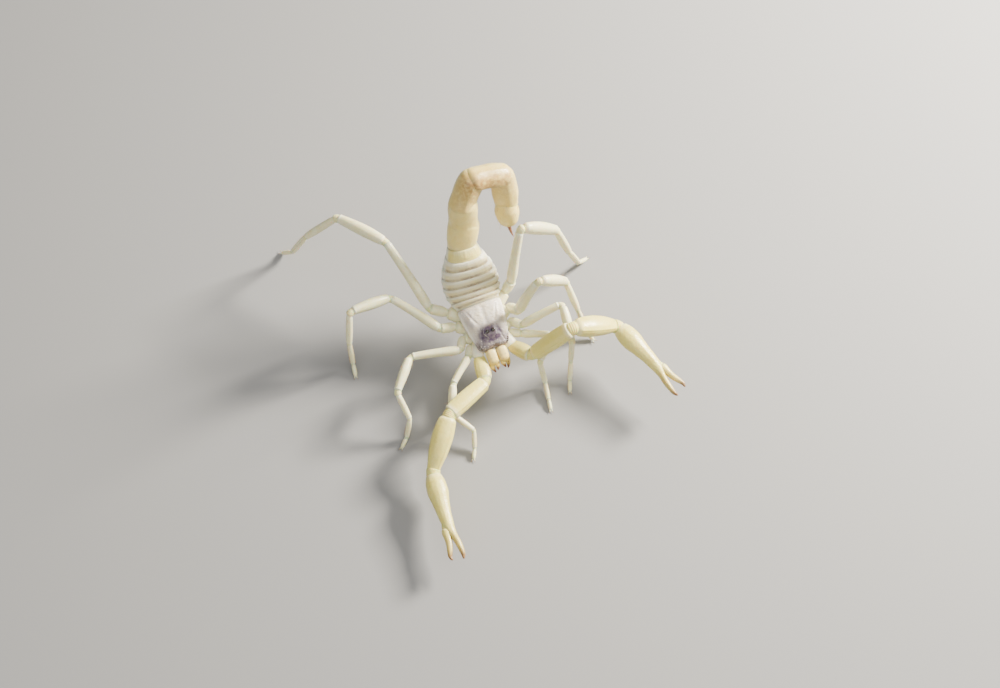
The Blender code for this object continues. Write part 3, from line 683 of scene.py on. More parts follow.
class Tree(Nodes):
    """Builds a geometry node tree with named inputs, the last of them the material."""

    def __init__(self, name, floats):
        self.tree = bpy.data.node_groups.new(name, "GeometryNodeTree")
        self.keys = {}
        self.socket("Geometry", "Geometry")
        labels = [(label, "Float") for label in floats] + [("Seed", "Int"), ("Material", "Material")]
        for label, kind in labels:
            self.keys[label] = self.socket(label, kind).identifier
        self.socket("Geometry", "Geometry", "OUTPUT")
        self.start = self.tree.nodes.new("NodeGroupInput")
        self.end = self.tree.nodes.new("NodeGroupOutput")

    def socket(self, label, kind, in_out="INPUT"):
        return self.tree.interface.new_socket(label, in_out=in_out, socket_type=f"NodeSocket{kind}")

    def given(self, label):
        return self.start.outputs[label]

    def field(self, name, kind="FLOAT"):
        return self.node("GeometryNodeInputNamedAttribute", {"data_type": kind}, Name=name).outputs[0]

    def parts_of_position(self):
        position = self.node("GeometryNodeInputPosition").outputs[0]
        return self.node("ShaderNodeSeparateXYZ", in0=position).outputs

    def combined(self, x, y, z=0.0):
        return self.node("ShaderNodeCombineXYZ", in0=x, in1=y, in2=z).outputs[0]

    def added(self, a, b):
        return self.node("ShaderNodeVectorMath", {"operation": "ADD"}, in0=a, in1=b).outputs[0]

    def scaled(self, vector, scale):
        return self.node("ShaderNodeVectorMath", {"operation": "SCALE"}, in0=vector, Scale=scale).outputs[0]

    def random(self, kind, low, high, sockets):
        """A random value for each element. The sockets are the numbers of its lowest and highest value."""
        made = self.node("FunctionNodeRandomValue", {"data_type": kind})
        made.inputs[sockets[0]].default_value, made.inputs[sockets[1]].default_value = low, high
        self.tree.links.new(self.given("Seed"), made.inputs["Seed"])
        return made

    def aligned(self, vector, axis="Z", rotation=None, pivot="AUTO"):
        settings = {"axis": axis, "pivot_axis": pivot}
        made = self.node("FunctionNodeAlignRotationToVector", settings, Vector=vector)
        if rotation is not None:
            self.tree.links.new(rotation, made.inputs["Rotation"])
        return made.outputs[0]

    def moved(self, geometry, position):
        return self.node("GeometryNodeSetPosition", Geometry=geometry, Position=position).outputs[0]

    def named(self, geometry, name, domain, value):
        """Keeps a two-part value on the geometry under a name."""
        kind, settings = "GeometryNodeStoreNamedAttribute", {"data_type": "FLOAT2", "domain": domain}
        return self.node(kind, settings, Geometry=geometry, Name=name, Value=value).outputs[0]

    def stand(self, spots, one, turn, scale):
        made = self.node(
            "GeometryNodeInstanceOnPoints", Points=spots.outputs[0], Instance=one, Rotation=turn, Scale=scale
        )
        return made.outputs[0]

    def close(self, geometry):
        """Ends the tree in real, smooth, finished geometry."""
        real = self.node("GeometryNodeRealizeInstances", Geometry=geometry).outputs[0]
        smooth_one = self.node("GeometryNodeSetShadeSmooth", Geometry=real).outputs[0]
        coated = self.node("GeometryNodeSetMaterial", Geometry=smooth_one, Material=self.given("Material"))
        self.tree.links.new(coated.outputs[0], self.end.inputs[0])

    def grow_on(self, host, name, **values):
        """Runs the tree on the host and returns the result as a plain mesh object."""
        modifier = host.modifiers.new("grown", "NODES")
        modifier.node_group = self.tree
        for label, value in values.items():
            modifier[self.keys[label]] = value
        graph = bpy.context.evaluated_depsgraph_get()
        mesh = bpy.data.meshes.new_from_object(host.evaluated_get(graph))
        host.modifiers.remove(modifier)
        bpy.data.objects.remove(host)
        if not mesh.polygons:
            raise RuntimeError(f"{name} came out empty")
        for key in ("aim", "size", "lie", "grow", "wrap", "stalk"):
            if key in mesh.attributes:
                mesh.attributes.remove(mesh.attributes[key])
        mesh.name = name
        return in_scene(name, mesh)


def bead_tree():
    """Beads or teeth along lines: each is a small closed drop that stands along its aim."""
    tree = Tree("beads along lines", ("Spacing", "Width", "Height", "Point"))
    line = tree.node("GeometryNodeMeshToCurve", Mesh=tree.given("Geometry")).outputs[0]
    spacing = tree.given("Spacing")
    spots = tree.node("GeometryNodeCurveToPoints", {"mode": "LENGTH"}, Curve=line, Length=spacing)
    ball_mesh = tree.node("GeometryNodeMeshUVSphere", Segments=8, Rings=5, Radius=1.0).outputs[0]
    x, y, z = tree.parts_of_position()
    pinch = tree.sums("MULTIPLY", tree.sums("MAXIMUM", z, 0.0), tree.given("Point"))
    slim = tree.sums("SUBTRACT", 1.0, pinch)
    narrowed = tree.combined(tree.sums("MULTIPLY", x, slim), tree.sums("MULTIPLY", y, slim), z)
    drop = tree.moved(ball_mesh, narrowed)
    turn = tree.aligned(tree.field("aim", "FLOAT_VECTOR"))
    turn = tree.aligned(spots.outputs["Tangent"], "X", turn, "Z")
    size = tree.sums("MULTIPLY", tree.field("size"), tree.random("FLOAT", 0.78, 1.16, (2, 3)).outputs[1])
    width = tree.sums("MULTIPLY", size, tree.given("Width"))
    height = tree.sums("MULTIPLY", size, tree.given("Height"))
    tree.close(tree.stand(spots, drop, turn, tree.combined(width, width, height)))
    return tree


def bristle_tree():
    """Bristles on a skin: they lean along its lie, thin out to a point, and grow where the skin says."""
    tree = Tree("bristles on skin", ("Density", "Length", "Thickness", "Lean"))
    skin = tree.given("Geometry")
    many = tree.sums("MULTIPLY", tree.given("Density"), tree.field("grow"))
    spots = tree.node("GeometryNodeDistributePointsOnFaces", Mesh=skin, Density=many, Seed=tree.given("Seed"))
    cone = tree.node(
        "GeometryNodeMeshCone",
        Vertices=5,
        Side_Segments=4,
        Fill_Segments=1,
        Radius_Top=0.1,
        Radius_Bottom=1.0,
        Depth=1.0,
    ).outputs[0]
    x, y, z = tree.parts_of_position()
    bent = tree.combined(tree.sums("MULTIPLY_ADD", tree.sums("POWER", z, 2.0), 9.0, x), y, z)
    curved = tree.moved(tree.named(cone, "stalk", "POINT", tree.combined(x, z)), bent)
    lie = tree.field("lie", "FLOAT_VECTOR")
    jitter = tree.random("FLOAT_VECTOR", (-0.3,) * 3, (0.3,) * 3, (0, 1)).outputs[0]
    up = tree.added(spots.outputs["Normal"], tree.scaled(lie, tree.given("Lean")))
    turn = tree.aligned(tree.added(up, jitter))
    turn = tree.aligned(lie, "X", turn, "Z")
    size = tree.random("FLOAT", 0.45, 1.35, (2, 3)).outputs[1]
    thick = tree.sums("MULTIPLY", tree.given("Thickness"), size)
    length = tree.sums("MULTIPLY", tree.given("Length"), size)
    stand = tree.stand(spots, curved, turn, tree.combined(thick, thick, length))
    real = tree.node("GeometryNodeRealizeInstances", Geometry=stand).outputs[0]
    stalk = tree.scaled(tree.field("stalk", "FLOAT_VECTOR"), BRISTLE_PATCH)
    patch = tree.added(tree.field("wrap", "FLOAT_VECTOR"), stalk)
    tree.close(tree.named(real, "OFBake", "CORNER", patch))
    return tree


class Coat(Nodes):
    """Builds one finished material from noise on the piece's own coordinates and its marks."""

    def __init__(self, name, roughness, **settings):
        self.material = bpy.data.materials.new(name)
        self.material.use_nodes = True
        self.tree = self.material.node_tree
        self.shader = self.tree.nodes["Principled BSDF"]
        self.position = self.node("ShaderNodeTexCoord").outputs["Object"]
        marks = self.node("ShaderNodeAttribute", {"attribute_name": "marks"}).outputs["Vector"]
        self.dusk, self.pale, self.dark = self.node("ShaderNodeSeparateXYZ", in0=marks).outputs
        self.shader.inputs["Roughness"].default_value = roughness
        for key, value in settings.items():
            self.shader.inputs[key.replace("_", " ")].default_value = value

    def noise(self, size, detail=3.0, stretch=None):
        """Noise with features of about the given size in millimetres."""
        position = self.position
        if stretch:
            position = self.node("ShaderNodeMapping", Vector=position, Scale=stretch).outputs[0]
        scale = 1 / (size * MM)
        made = self.node("ShaderNodeTexNoise", Vector=position, Scale=scale, Detail=detail, Roughness=0.55)
        return made.outputs[0]

    def cell_edges(self, size):
        """How far each point is from the edge of its cell. The cells' size is in millimetres."""
        settings = {"feature": "DISTANCE_TO_EDGE"}
        scale = 1 / (size * MM)
        made = self.node("ShaderNodeTexVoronoi", settings, Vector=self.position, Scale=scale, Randomness=0.9)
        return made.outputs["Distance"]

    def spread(self, value, low, high, first=0.0, last=1.0):
        made = self.node("ShaderNodeMapRange", {"interpolation_type": "SMOOTHSTEP"}, Value=value)
        for key, number in (("From Min", low), ("From Max", high), ("To Min", first), ("To Max", last)):
            made.inputs[key].default_value = number
        return made.outputs[0]

    def times(self, a, b):
        return self.sums("MULTIPLY", a, b)

    def plus(self, a, b):
        return self.sums("ADD", a, b)

    def mix(self, share, first, second):
        made = self.node("ShaderNodeMix", {"data_type": "RGBA"}, in0=share)
        for socket, value in ((made.inputs[6], first), (made.inputs[7], second)):
            if isinstance(value, bpy.types.NodeSocket):
                self.tree.links.new(value, socket)
            else:
                socket.default_value = (*value[:3], 1.0)
        return made.outputs[2]

    def finish(self, tint, height, distance, roughness):
        self.tree.links.new(tint, self.shader.inputs["Base Color"])
        bump = self.node("ShaderNodeBump", Height=height, Strength=0.6, Distance=distance * MM)
        self.tree.links.new(bump.outputs[0], self.shader.inputs["Normal"])
        self.tree.links.new(roughness, self.shader.inputs["Roughness"])
        return self.material


def shaded(base, *shares):
    """A shade of a colour, kept between 0 and 1: one share for all its parts, or one for each."""
    shares = shares * 3 if len(shares) == 1 else shares
    return tuple(max(0.0, min(1.0, part * share)) for part, share in zip(base, shares))


def shell_coat(name, base, roughness, relief, dusk=None, depth=0.35, mottle=1.3, cell=0.16, cloud=0.45):
    """Waxy shell: mottled, with dusky and pale marks, faint cells and a fine relief. On some pieces the dusky
    and pale marks are painted shade and a painted highlight.
    """
    tints = bpy.context.scene.scorpion_colours
    coat = Coat(
        name,
        roughness,
        Subsurface_Weight=depth,
        Subsurface_Scale=0.0006,
        Subsurface_Radius=(1.0, 0.62, 0.35),
        Specular_IOR_Level=0.45,
        Coat_Weight=0.12,
        Coat_Roughness=0.25,
    )
    broad = coat.spread(coat.noise(mottle), 0.38, 0.64)
    fine = coat.spread(coat.noise(0.22, 4.0), 0.35, 0.7)
    warm = shaded(base, 0.98, 0.92, 0.66)
    tint = coat.mix(coat.times(broad, 0.55), base, warm)
    tint = coat.mix(coat.times(fine, 0.30), tint, shaded(base, 0.82))
    rim = coat.spread(coat.cell_edges(cell), 0.0, 0.22, 1.0, 0.0)
    tint = coat.mix(coat.times(rim, 0.12), tint, shaded(warm, 0.72))
    clouds = coat.spread(coat.noise(0.45, 4.0), 0.28, 0.62, cloud, 1.0)
    # Dusky marks: the shell's own bands and spots, and painted shade on the tail, back plates and head
    # shield.
    tint = coat.mix(coat.times(coat.dusk, clouds), tint, dusk or tints.dusk)
    # Pale marks: paler shell, and a painted highlight on the back plates' rear edges.
    tint = coat.mix(coat.pale, tint, (0.84, 0.81, 0.70))
    tint = coat.mix(coat.dark, tint, tints.tip)
    height = coat.plus(coat.times(coat.noise(0.09), 0.6), coat.times(rim, -0.2))
    gloss = coat.spread(coat.noise(0.5), 0.3, 0.7, roughness - 0.08, roughness + 0.12)
    return coat.finish(tint, height, relief, gloss)


def skin_coat(name, base, relief=0.022):
    """Soft wrinkled joint skin."""
    coat = Coat(name, 0.5, Subsurface_Weight=0.45, Subsurface_Scale=0.0005, Specular_IOR_Level=0.35)
    folds = coat.noise(0.12, 5.0, (1.0, 1.0, 2.4))
    tint = coat.mix(coat.spread(folds, 0.35, 0.68), shaded(base, 0.80), shaded(base, 1.14))
    tint = coat.mix(coat.times(coat.noise(0.5), 0.35), tint, shaded(base, 1, 0.9, 0.7))
    height = coat.plus(folds, coat.times(coat.noise(0.05), 0.3))
    return coat.finish(tint, height, relief, coat.spread(folds, 0.3, 0.7, 0.4, 0.6))


def eye_coat():
    """Polished black lens with a faint brown depth."""
    coat = Coat("eye_lens", 0.06, Coat_Weight=0.8, Coat_Roughness=0.03, Specular_IOR_Level=0.7)
    depth = coat.spread(coat.noise(0.2), 0.4, 0.7)
    tint = coat.mix(depth, (0.006, 0.005, 0.006), (0.022, 0.012, 0.010))
    return coat.finish(tint, coat.noise(0.12), 0.002, coat.spread(coat.noise(0.3), 0.3, 0.7, 0.04, 0.12))


def horn_coat():
    """Hard reddish brown horn of teeth, tips and claws."""
    tip = bpy.context.scene.scorpion_colours.tip
    coat = Coat("horn_tip", 0.28, Subsurface_Weight=0.12, Subsurface_Scale=0.0003, Coat_Weight=0.3)
    streak = coat.spread(coat.noise(0.18, 4.0), 0.32, 0.68)
    tint = coat.mix(streak, shaded(tip, 0.75), shaded(tip, 1.9))
    return coat.finish(tint, coat.noise(0.06), 0.012, coat.spread(streak, 0.0, 1.0, 0.22, 0.38))


def bristle_coat():
    """Fine amber bristle, streaked from dark to light."""
    base = bpy.context.scene.scorpion_colours.bristle
    coat = Coat("bristle", 0.35, Subsurface_Weight=0.1, Subsurface_Scale=0.0002)
    streak = coat.spread(coat.noise(0.3, 2.0), 0.3, 0.7)
    tint = coat.mix(streak, shaded(base, 0.6), shaded(base, 1.8))
    return coat.finish(tint, coat.noise(0.05), 0.01, coat.spread(streak, 0.0, 1.0, 0.3, 0.45))


def coat_named(name):
    """A coat made once and shared by every piece that wears it."""
    if name in bpy.data.materials:
        return bpy.data.materials[name]
    tints = bpy.context.scene.scorpion_colours
    makers = {
        "joint_skin": lambda: skin_coat(name, tints.skin, 0.045),
        "leg_joint_skin": lambda: skin_coat(name, shaded(tints.leg, 0.94, 0.93, 0.75)),
        "arm_joint_skin": lambda: skin_coat(name, shaded(tints.arm, 1, 1.02, 1.15)),
        "eye_lens": eye_coat,
        "horn_tip": horn_coat,
        "bristle": bristle_coat,
        # The shield's violet marks include painted shade over its front.
        "shield_shell": lambda: shell_coat(
            name, tints.head, 0.42, 0.05, tints.violet, depth=0.25, cell=0.2, cloud=0.78
        ),
        # The back plates' bands are partly painted shade.
        "back_plate_shell": lambda: shell_coat(name, tints.trunk, 0.40, 0.035, tints.band, cell=0.13),
        "belly_shell": lambda: shell_coat(name, shaded(tints.trunk, 1.1), 0.36, 0.02, cell=0.3),
        # On the tail rings the dusky marks are amber painted shade inside the arch.
        "tail_shell": lambda: shell_coat(name, tints.tail, 0.36, 0.04, tints.amber, depth=0.45),
        "arm_shell": lambda: shell_coat(name, tints.arm, 0.34, 0.03, depth=0.4),
        "leg_shell": lambda: shell_coat(name, tints.leg, 0.34, 0.025, depth=0.45, mottle=0.9),
        "mouth_shell": lambda: shell_coat(name, tints.mouth, 0.36, 0.03),
    }
    return makers[name]()


def trunk_way(place):
    """The trunk's direction and upper side at a place counted in rings."""
    share = place / TRUNK_RINGS
    rise = HEAD_PITCH + (TRUNK_END_PITCH - HEAD_PITCH) * share
    return heading(TRUNK_END_TURN * share, rise), heading(TRUNK_END_TURN * share, rise + 90)


def trunk_table():
    """Where the trunk's middle line lies, at fine steps from the head shield to the tail."""
    parts = 40
    places = np.linspace(0, TRUNK_RINGS, TRUNK_RINGS * parts + 1)
    middles = (places[1:] + places[:-1]) / 2
    ways = np.array([trunk_way(place)[0] for place in middles])
    steps = ways * (np.repeat(TRUNK_LENGTHS, parts) * MM / parts)[:, None]
    line = np.concatenate([np.zeros((1, 3)), np.cumsum(steps, 0)])
    return places, head_point(0, CARAPACE_LENGTH / MM / 2, 0) + line


TRUNK_LINE = trunk_table()


def trunk_frame(places):
    """Centres, directions and upper sides of the trunk at places counted in rings."""
    flat = np.asarray(places, float).reshape(-1)
    inside = np.clip(flat, 0, TRUNK_RINGS)
    centres = np.stack([np.interp(inside, TRUNK_LINE[0], TRUNK_LINE[1][:, k]) for k in range(3)], -1)
    ways, ups = np.array([trunk_way(place) for place in flat]).transpose(1, 0, 2)
    centres = centres + ways * ((flat - inside) * MM)[:, None]
    return centres, ways, ups


def trunk_skin_point(places, degrees, height):
    """Points at a height over the trunk's outline. All three are arrays of one shape."""
    centres, ways, ups = trunk_frame(places)
    across = np.cross(ways, ups)
    x, z = section(degrees.reshape(-1), TRUNK_POWER)
    flat = places.reshape(-1)
    wide, high = smooth(flat, TRUNK_WIDTHS), smooth(flat, TRUNK_HEIGHTS)
    nx, nz = x * high, z * wide
    reach = np.sqrt(nx**2 + nz**2) + 1e-9
    h = height.reshape(-1)
    out, over = (x * wide + nx / reach * h) * MM, (z * high + nz / reach * h) * MM
    points = centres + across * out[:, None] + ups * over[:, None]
    return points.reshape(*places.shape, 3)


def plate(shape, span, angles, lift, thick, rows, cols, paint, relief, bow=0.0):
    """A thin curved plate round the trunk, over a span of ring places and a range of angles."""
    first, last = span
    low, high = angles
    half = cols // 2
    u = np.concatenate([np.linspace(0, 1, half), np.linspace(1, 0, half)])
    top = np.concatenate([np.ones(half), np.zeros(half)])[None]
    edge = np.abs(np.linspace(-1, 1, rows)) ** 5
    cut = (last - first) * 0.22 * edge
    start, end = first + cut, last - cut
    places = start[:, None] + (end - start)[:, None] * u[None]
    angles = np.broadcast_to(np.linspace(low, high, rows)[:, None], places.shape)
    flare = np.sqrt(np.sin(np.pi * np.clip(places / TRUNK_RINGS, 0, 1)))
    places = places + bow * flare * (np.abs((angles - (low + high) / 2) / 90)) ** 2.2
    body = np.sqrt(np.clip(1 - np.abs(2 * u - 1) ** 7, 0.0, 1))
    thin = thick * body[None] * (1 - 0.75 * edge[:, None])
    full_u = np.broadcast_to(u[None], places.shape)
    height = smooth(u, lift)[None] + (top - 0.5) * thin - 0.20 * edge[:, None]
    points = trunk_skin_point(places, angles, height + relief(angles, full_u) * top)
    bumps = (grain(points, 0.14 * MM, 7) - 0.5) * 1.6 * bpy.context.scene.scorpion_shape.grain
    spokes = points - trunk_frame(places)[0].reshape(points.shape)
    points = points + spokes * (bumps * top / (3 * MM))[..., None]
    way = trunk_way((first + last) / 2)[0]
    shape.grid(points, paint(angles, full_u), way, 0.25 * top)
    return points


def shield_lift(x, y, side):
    """The head shield's eye mound, furrows, rims and lobes."""
    aside = np.abs(x)
    mound = 0.46 * np.exp(-(((aside / 0.78) ** 3) + (np.abs(y + 1.05) / 0.92) ** 3))
    saddle = -0.10 * spot(x, y, (0, -1.05), (0.16, 0.8))
    furrow = -0.13 * hump(x, 0, 0.15) * (between(y, -0.2, 0.4, 2.7, 3.2) + 0.7 * (1 - step(y, -2.9, -2.1)))
    branch = 1.05 + 0.42 * (y - 0.3)
    furrow = furrow - 0.10 * hump(aside, branch, 0.16) * between(y, 0.2, 0.7, 2.3, 2.9)
    front = 1.25 - 0.28 * (y + 1.6)
    furrow = furrow - 0.08 * hump(aside, front, 0.15) * between(y, -3.2, -2.7, -0.7, -0.2)
    across = -0.10 * hump(y, 3.02, 0.1) + 0.05 * hump(y, 3.25, 0.12)
    rim = 0.07 * hump(side, 0.965, 0.03) - 0.06 * hump(side, 0.90, 0.03)
    lobes = 0.10 * spot(aside, y, (1.75, 1.2), (0.55, 1.3))
    return mound + saddle + furrow + across + rim + lobes


def shield_dusk(x, y):
    """Where the head shield is dusky: round the eyes, on two wings, at its front and its front corners. The
    darkening over the front is partly the shield's own violet and partly painted shade.
    """
    aside = np.abs(x)
    eyes = spot(x, y, (0, -1.45), (1.7, 1.35))
    corner = spot(aside, y, (1.95, -3.0), (0.65, 0.8))
    wing = 0.5 * hump(aside - 0.9, 0.55 * (y + 1.6), 0.42) * between(y, -1.0, 0.6, 1.2, 2.6)
    # Over the shield's front: partly its own violet, partly painted shade.
    front = 0.80 * (1 - step(y, -2.4, -0.9)) * (1 - 0.5 * spot(x, y, (0, -2.3), (0.5, 0.5)))
    return np.maximum(0.98 * step(eyes, 0.06, 0.60) + 0.85 * corner + 0.6 * wing, front)


class BuildShield(bpy.types.Operator):
    """Makes the head shield with its eye mound, furrows and grains, and the eyes on it"""

    bl_idname = "scorpion.build_shield"
    bl_label = "Head shield and eyes"

    def execute(self, context):
        surface = self.shield()
        rows = Rows()
        random = np.random.default_rng(context.scene.scorpion_shape.seed)
        for name, side in SIDES:
            self.eyes(name, side)
            self.brow(side, surface, rows)
            self.grains(side, surface, rows, random)
        beads = rows.grow("shield_grains", "shield_shell", 0.13 * MM, 0.052 * MM, 0.06 * MM, 0.4, 2)
        place(beads, "carapace")
        return {"FINISHED"}

    def shield(self):
        """Makes the shield. Returns its points, directions, duskiness, place and upper share."""
        length = CARAPACE_LENGTH / MM - 0.15
        even = np.linspace(0, 1, SHIELD_ROWS)
        u = 0.5 * ((1 - np.cos(np.pi * even)) / 2) + 0.5 * even
        y = u * length - length / 2
        ends = rounded(u, length, 0.55, 0.5)
        wide = (2.25 + 1.1 * np.sin(u * math.pi / 2)) * (0.55 + 0.45 * ends)
        high = 1.45 * smooth(u, ((0, 0.66), (0.3, 0.92), (0.55, 1.0), (1, 1.1))) * ends
        centres = np.array([head_point(0, value, 0.1) for value in y])
        points, normal, degrees = sweep(centres, HEAD_UP, wide * MM, high * MM, SHIELD_COLS, 2.45, 0.3)
        x = np.cos(np.radians(degrees))[None] * wide[:, None]
        y = y[:, None] + np.zeros_like(x)
        upper = step(np.sin(np.radians(degrees)), -0.05, 0.25)[None]
        side = np.abs(x) / wide[:, None]
        rough = grain(points, 0.19 * MM, 11) ** 3 * 0.10 + grain(points, 0.09 * MM, 12) ** 3 * 0.045
        lift = (shield_lift(x, y, side) + rough * (1 - 0.5 * side)) * upper
        notch = 0.22 * hump(x, 0, 0.55) * (1 - step(u[:, None], 0.0, 0.10))
        points = points + normal * (lift * MM)[..., None] + HEAD_BACK * (notch * MM)[..., None]
        dusk = shield_dusk(x, y) * upper
        marks = channels(side, x, dusk, 0.55 * step(side, 0.80, 0.97) * step(y, -2.4, -1.2))
        shape = Shape()
        shape.grid(points, marks, HEAD_BACK, 0.12 * upper)
        body = np.array([head_point(0, value, -0.45) for value in np.linspace(-3.2, 3.9, 40)])
        t = np.linspace(0, 1, 40)
        inner = rounded(t, 7, 1.2, 0.8)
        wide, high = smooth(t, ((0, 1.9), (1, 2.9))) * inner * MM, 1.15 * inner * MM
        shape.grid(sweep(body, HEAD_UP, wide, high, 40, 2.6)[0], slot=1)
        made = shape.finish("head_shield", "shield_shell", "joint_skin")
        place(made, "carapace", "carapace")
        return points, normal, marks[..., 0], x, y, upper

    def eyes(self, name, side):
        """Makes the middle eye and the three small side eyes of one side."""
        lens = Shape()
        x, y, z, radius = MIDDLE_EYE
        out = unit(HEAD_UP + 0.55 * side * np.array((1.0, 0, 0)) - 0.12 * HEAD_BACK)
        ball(lens, head_point(side * x, y, z), out, radius, 32)
        place(lens.finish(f"middle_eye_{name}", "eye_lens"), f"eye_{name}", f"eye_{name}")
        beads = Shape()
        for x, y, z, radius in SIDE_EYES:
            ball(beads, head_point(side * x, y, z), HEAD_UP, radius, 18)
        place(beads.finish(f"side_eyes_{name}", "eye_lens"), f"eye_{name}")

    def brow(self, side, surface, rows):
        """Lines up grains over the middle eye, on the nearest points of the shield."""
        points, _, _, x, y, upper = surface
        brow = np.linspace(-0.75, 0.75, BROW_GRAINS)
        aside = side * (0.74 - 0.35 * (brow / 0.75) ** 2)
        gaps = [(x - a) ** 2 + (y - b + 1.05) ** 2 - upper for a, b in zip(aside, brow)]
        rows.add(np.array([points.reshape(-1, 3)[np.argmin(gap)] for gap in gaps]), HEAD_UP, 0.9)

    def grains(self, side, surface, rows, random):
        """Scatters grains over one side of the shield where it isn't dusky."""
        points, normal, dusk = surface[:3]
        for _ in range(SHIELD_GRAINS):
            i, j = random.integers(10, 140), random.integers(4, 62)
            if side < 0:
                j = (66 - j) % SHIELD_COLS
            if dusk[i, j] < 0.9:
                line = np.stack([points[i, j], points[i, j] + HEAD_BACK * 0.02 * MM])
                rows.add(line, normal[i, j], random.uniform(0.5, 1.2))


def back_relief(angles, u):
    """The back plates' crest, side ridges, groove and rear edge."""
    off = (angles - 90) / 90
    crest = 0.035 * hump(off, 0, 0.035) * step(u, 0.25, 0.5)
    sides = 0.035 * hump(np.abs(off), 0.42, 0.035) * step(u, 0.45, 0.65)
    return crest + sides - 0.045 * hump(u, 0.28, 0.05) + 0.03 * hump(u, 0.93, 0.04)


def back_paint(angles, u, last):
    """The back plates' dusky band and pale edges. The band is partly the plates' own colour and partly
    painted shade over the groove behind the plate in front, and the pale rear part is a painted highlight.
    The last plate is nearly plain.
    """
    off = np.abs(angles - 90) / 90
    edge = 1 - step(off, 0.62, 0.86)
    # The dusky band lies over the groove near each plate's front: partly its own colour, partly painted
    # shade.
    dusk = between(u, 0.10, 0.16, 0.34, 0.50) * edge * (0.12 if last else 0.95)
    # The second term, the pale rear part of each plate, is a painted highlight on its raised rear edge.
    pale = 0.8 * step(off, 0.62, 0.90) + 0.45 * step(u, 0.66, 0.88) * edge * (0.3 if last else 1)
    return channels(u, u, dusk * (0.75 + 0.25 * np.cos(off * 9)), pale)


def slit_spot(angles, u, width):
    """The two breathing slits of a belly plate, each a slanting line."""
    off = np.abs(angles - 270)
    way = (u - 0.62 - 0.004 * (off - 33)) / width
    return np.exp(-(way**2) - ((off - 33) / 7.0) ** 4)


def belly_relief(angles, u, last):
    return -0.03 * hump(np.abs(angles - 270), 16, 2.5) if last else -0.10 * slit_spot(angles, u, 0.035)


def belly_paint(angles, u, last):
    hole = 0 if last else 0.7 * slit_spot(angles, u, 0.05)
    pale = 0.35 * step(np.abs(angles - 270), 40, 56)
    return channels(u, u, hole + 0.10 * step(u, 0.84, 0.95), pale)


class BuildTrunk(bpy.types.Operator):
    """Makes the seven back plates, the soft flanks and the belly plates with their breathing slits"""

    bl_idname = "scorpion.build_trunk"
    bl_label = "Back and belly plates"

    def execute(self, context):
        rows = Rows()
        for k in range(TRUNK_RINGS):
            self.back_plate(k, k == TRUNK_RINGS - 1, rows)
        beads = rows.grow("back_plate_grains", "back_plate_shell", 0.22 * MM, 0.042 * MM, 0.05 * MM, 0.5, 5)
        place(beads, "trunk_3")
        self.flanks()
        self.belly()
        return {"FINISHED"}

    def back_plate(self, k, last, rows):
        shape = Shape()
        points = plate(
            shape, (k - 0.12, k + (1.0 if last else 1.06)), (-14, 194), LAST_BACK_LIFT if last else BACK_LIFT,
            0.16, 120, 48, lambda angles, u: back_paint(angles, u, last), back_relief, bow=0.62,
        )
        made = shape.finish(f"back_plate_{k + 1}", "tail_shell" if last else "back_plate_shell")
        place(made, f"trunk_{k + 1}", f"trunk_{k + 1}")
        for column, size in ((21, 0.8), (17, 0.6)):
            line = points[14:106, column]
            rows.add(line, line - points[14:106, -1 - column], size)
        for row in (38, 50, 70, 82) if last else ():
            line = points[row, 6:22]
            rows.add(line, line - points[row, 41:25:-1], 0.8)

    def flanks(self):
        shape = Shape()
        even = np.linspace(-0.6, 7.1, FLANK_ROWS)
        degrees = np.arange(FLANK_COLS) * 360.0 / FLANK_COLS
        places, angles = np.meshgrid(even, degrees, indexing="ij")
        off = np.abs(np.cos(np.radians(angles)))
        folds = 0.05 * np.cos(math.tau * places * 3.0) + 0.05 * np.sin(np.radians(angles) * 34) * off
        folds = folds + 0.05 * (grain(np.stack([places, angles / 9, angles * 0], -1), 0.35, 8) - 0.5)
        points = trunk_skin_point(places, angles, -0.24 + (folds + 0.13) * step(off, 0.4, 0.85))
        middle = trunk_frame(even)[0][:, None]
        close = rounded(np.linspace(0, 1, FLANK_ROWS), 7.7, 0.7, 0.9)
        shape.grid(middle + (points - middle) * close[:, None, None])
        place(shape.finish("flank_skin", "joint_skin"), "trunk_4")

    def belly(self):
        shape = Shape()
        for k in range(2, TRUNK_RINGS):
            last = k == TRUNK_RINGS - 1
            plate(
                shape, (k - 0.10, k + 1.08), (206, 334), BELLY_LIFT, 0.15, 96, 44,
                lambda angles, u, last=last: belly_paint(angles, u, last),
                lambda angles, u, last=last: belly_relief(angles, u, last),
            )
        place(shape.finish("belly_plates", "belly_shell"), "trunk_5")


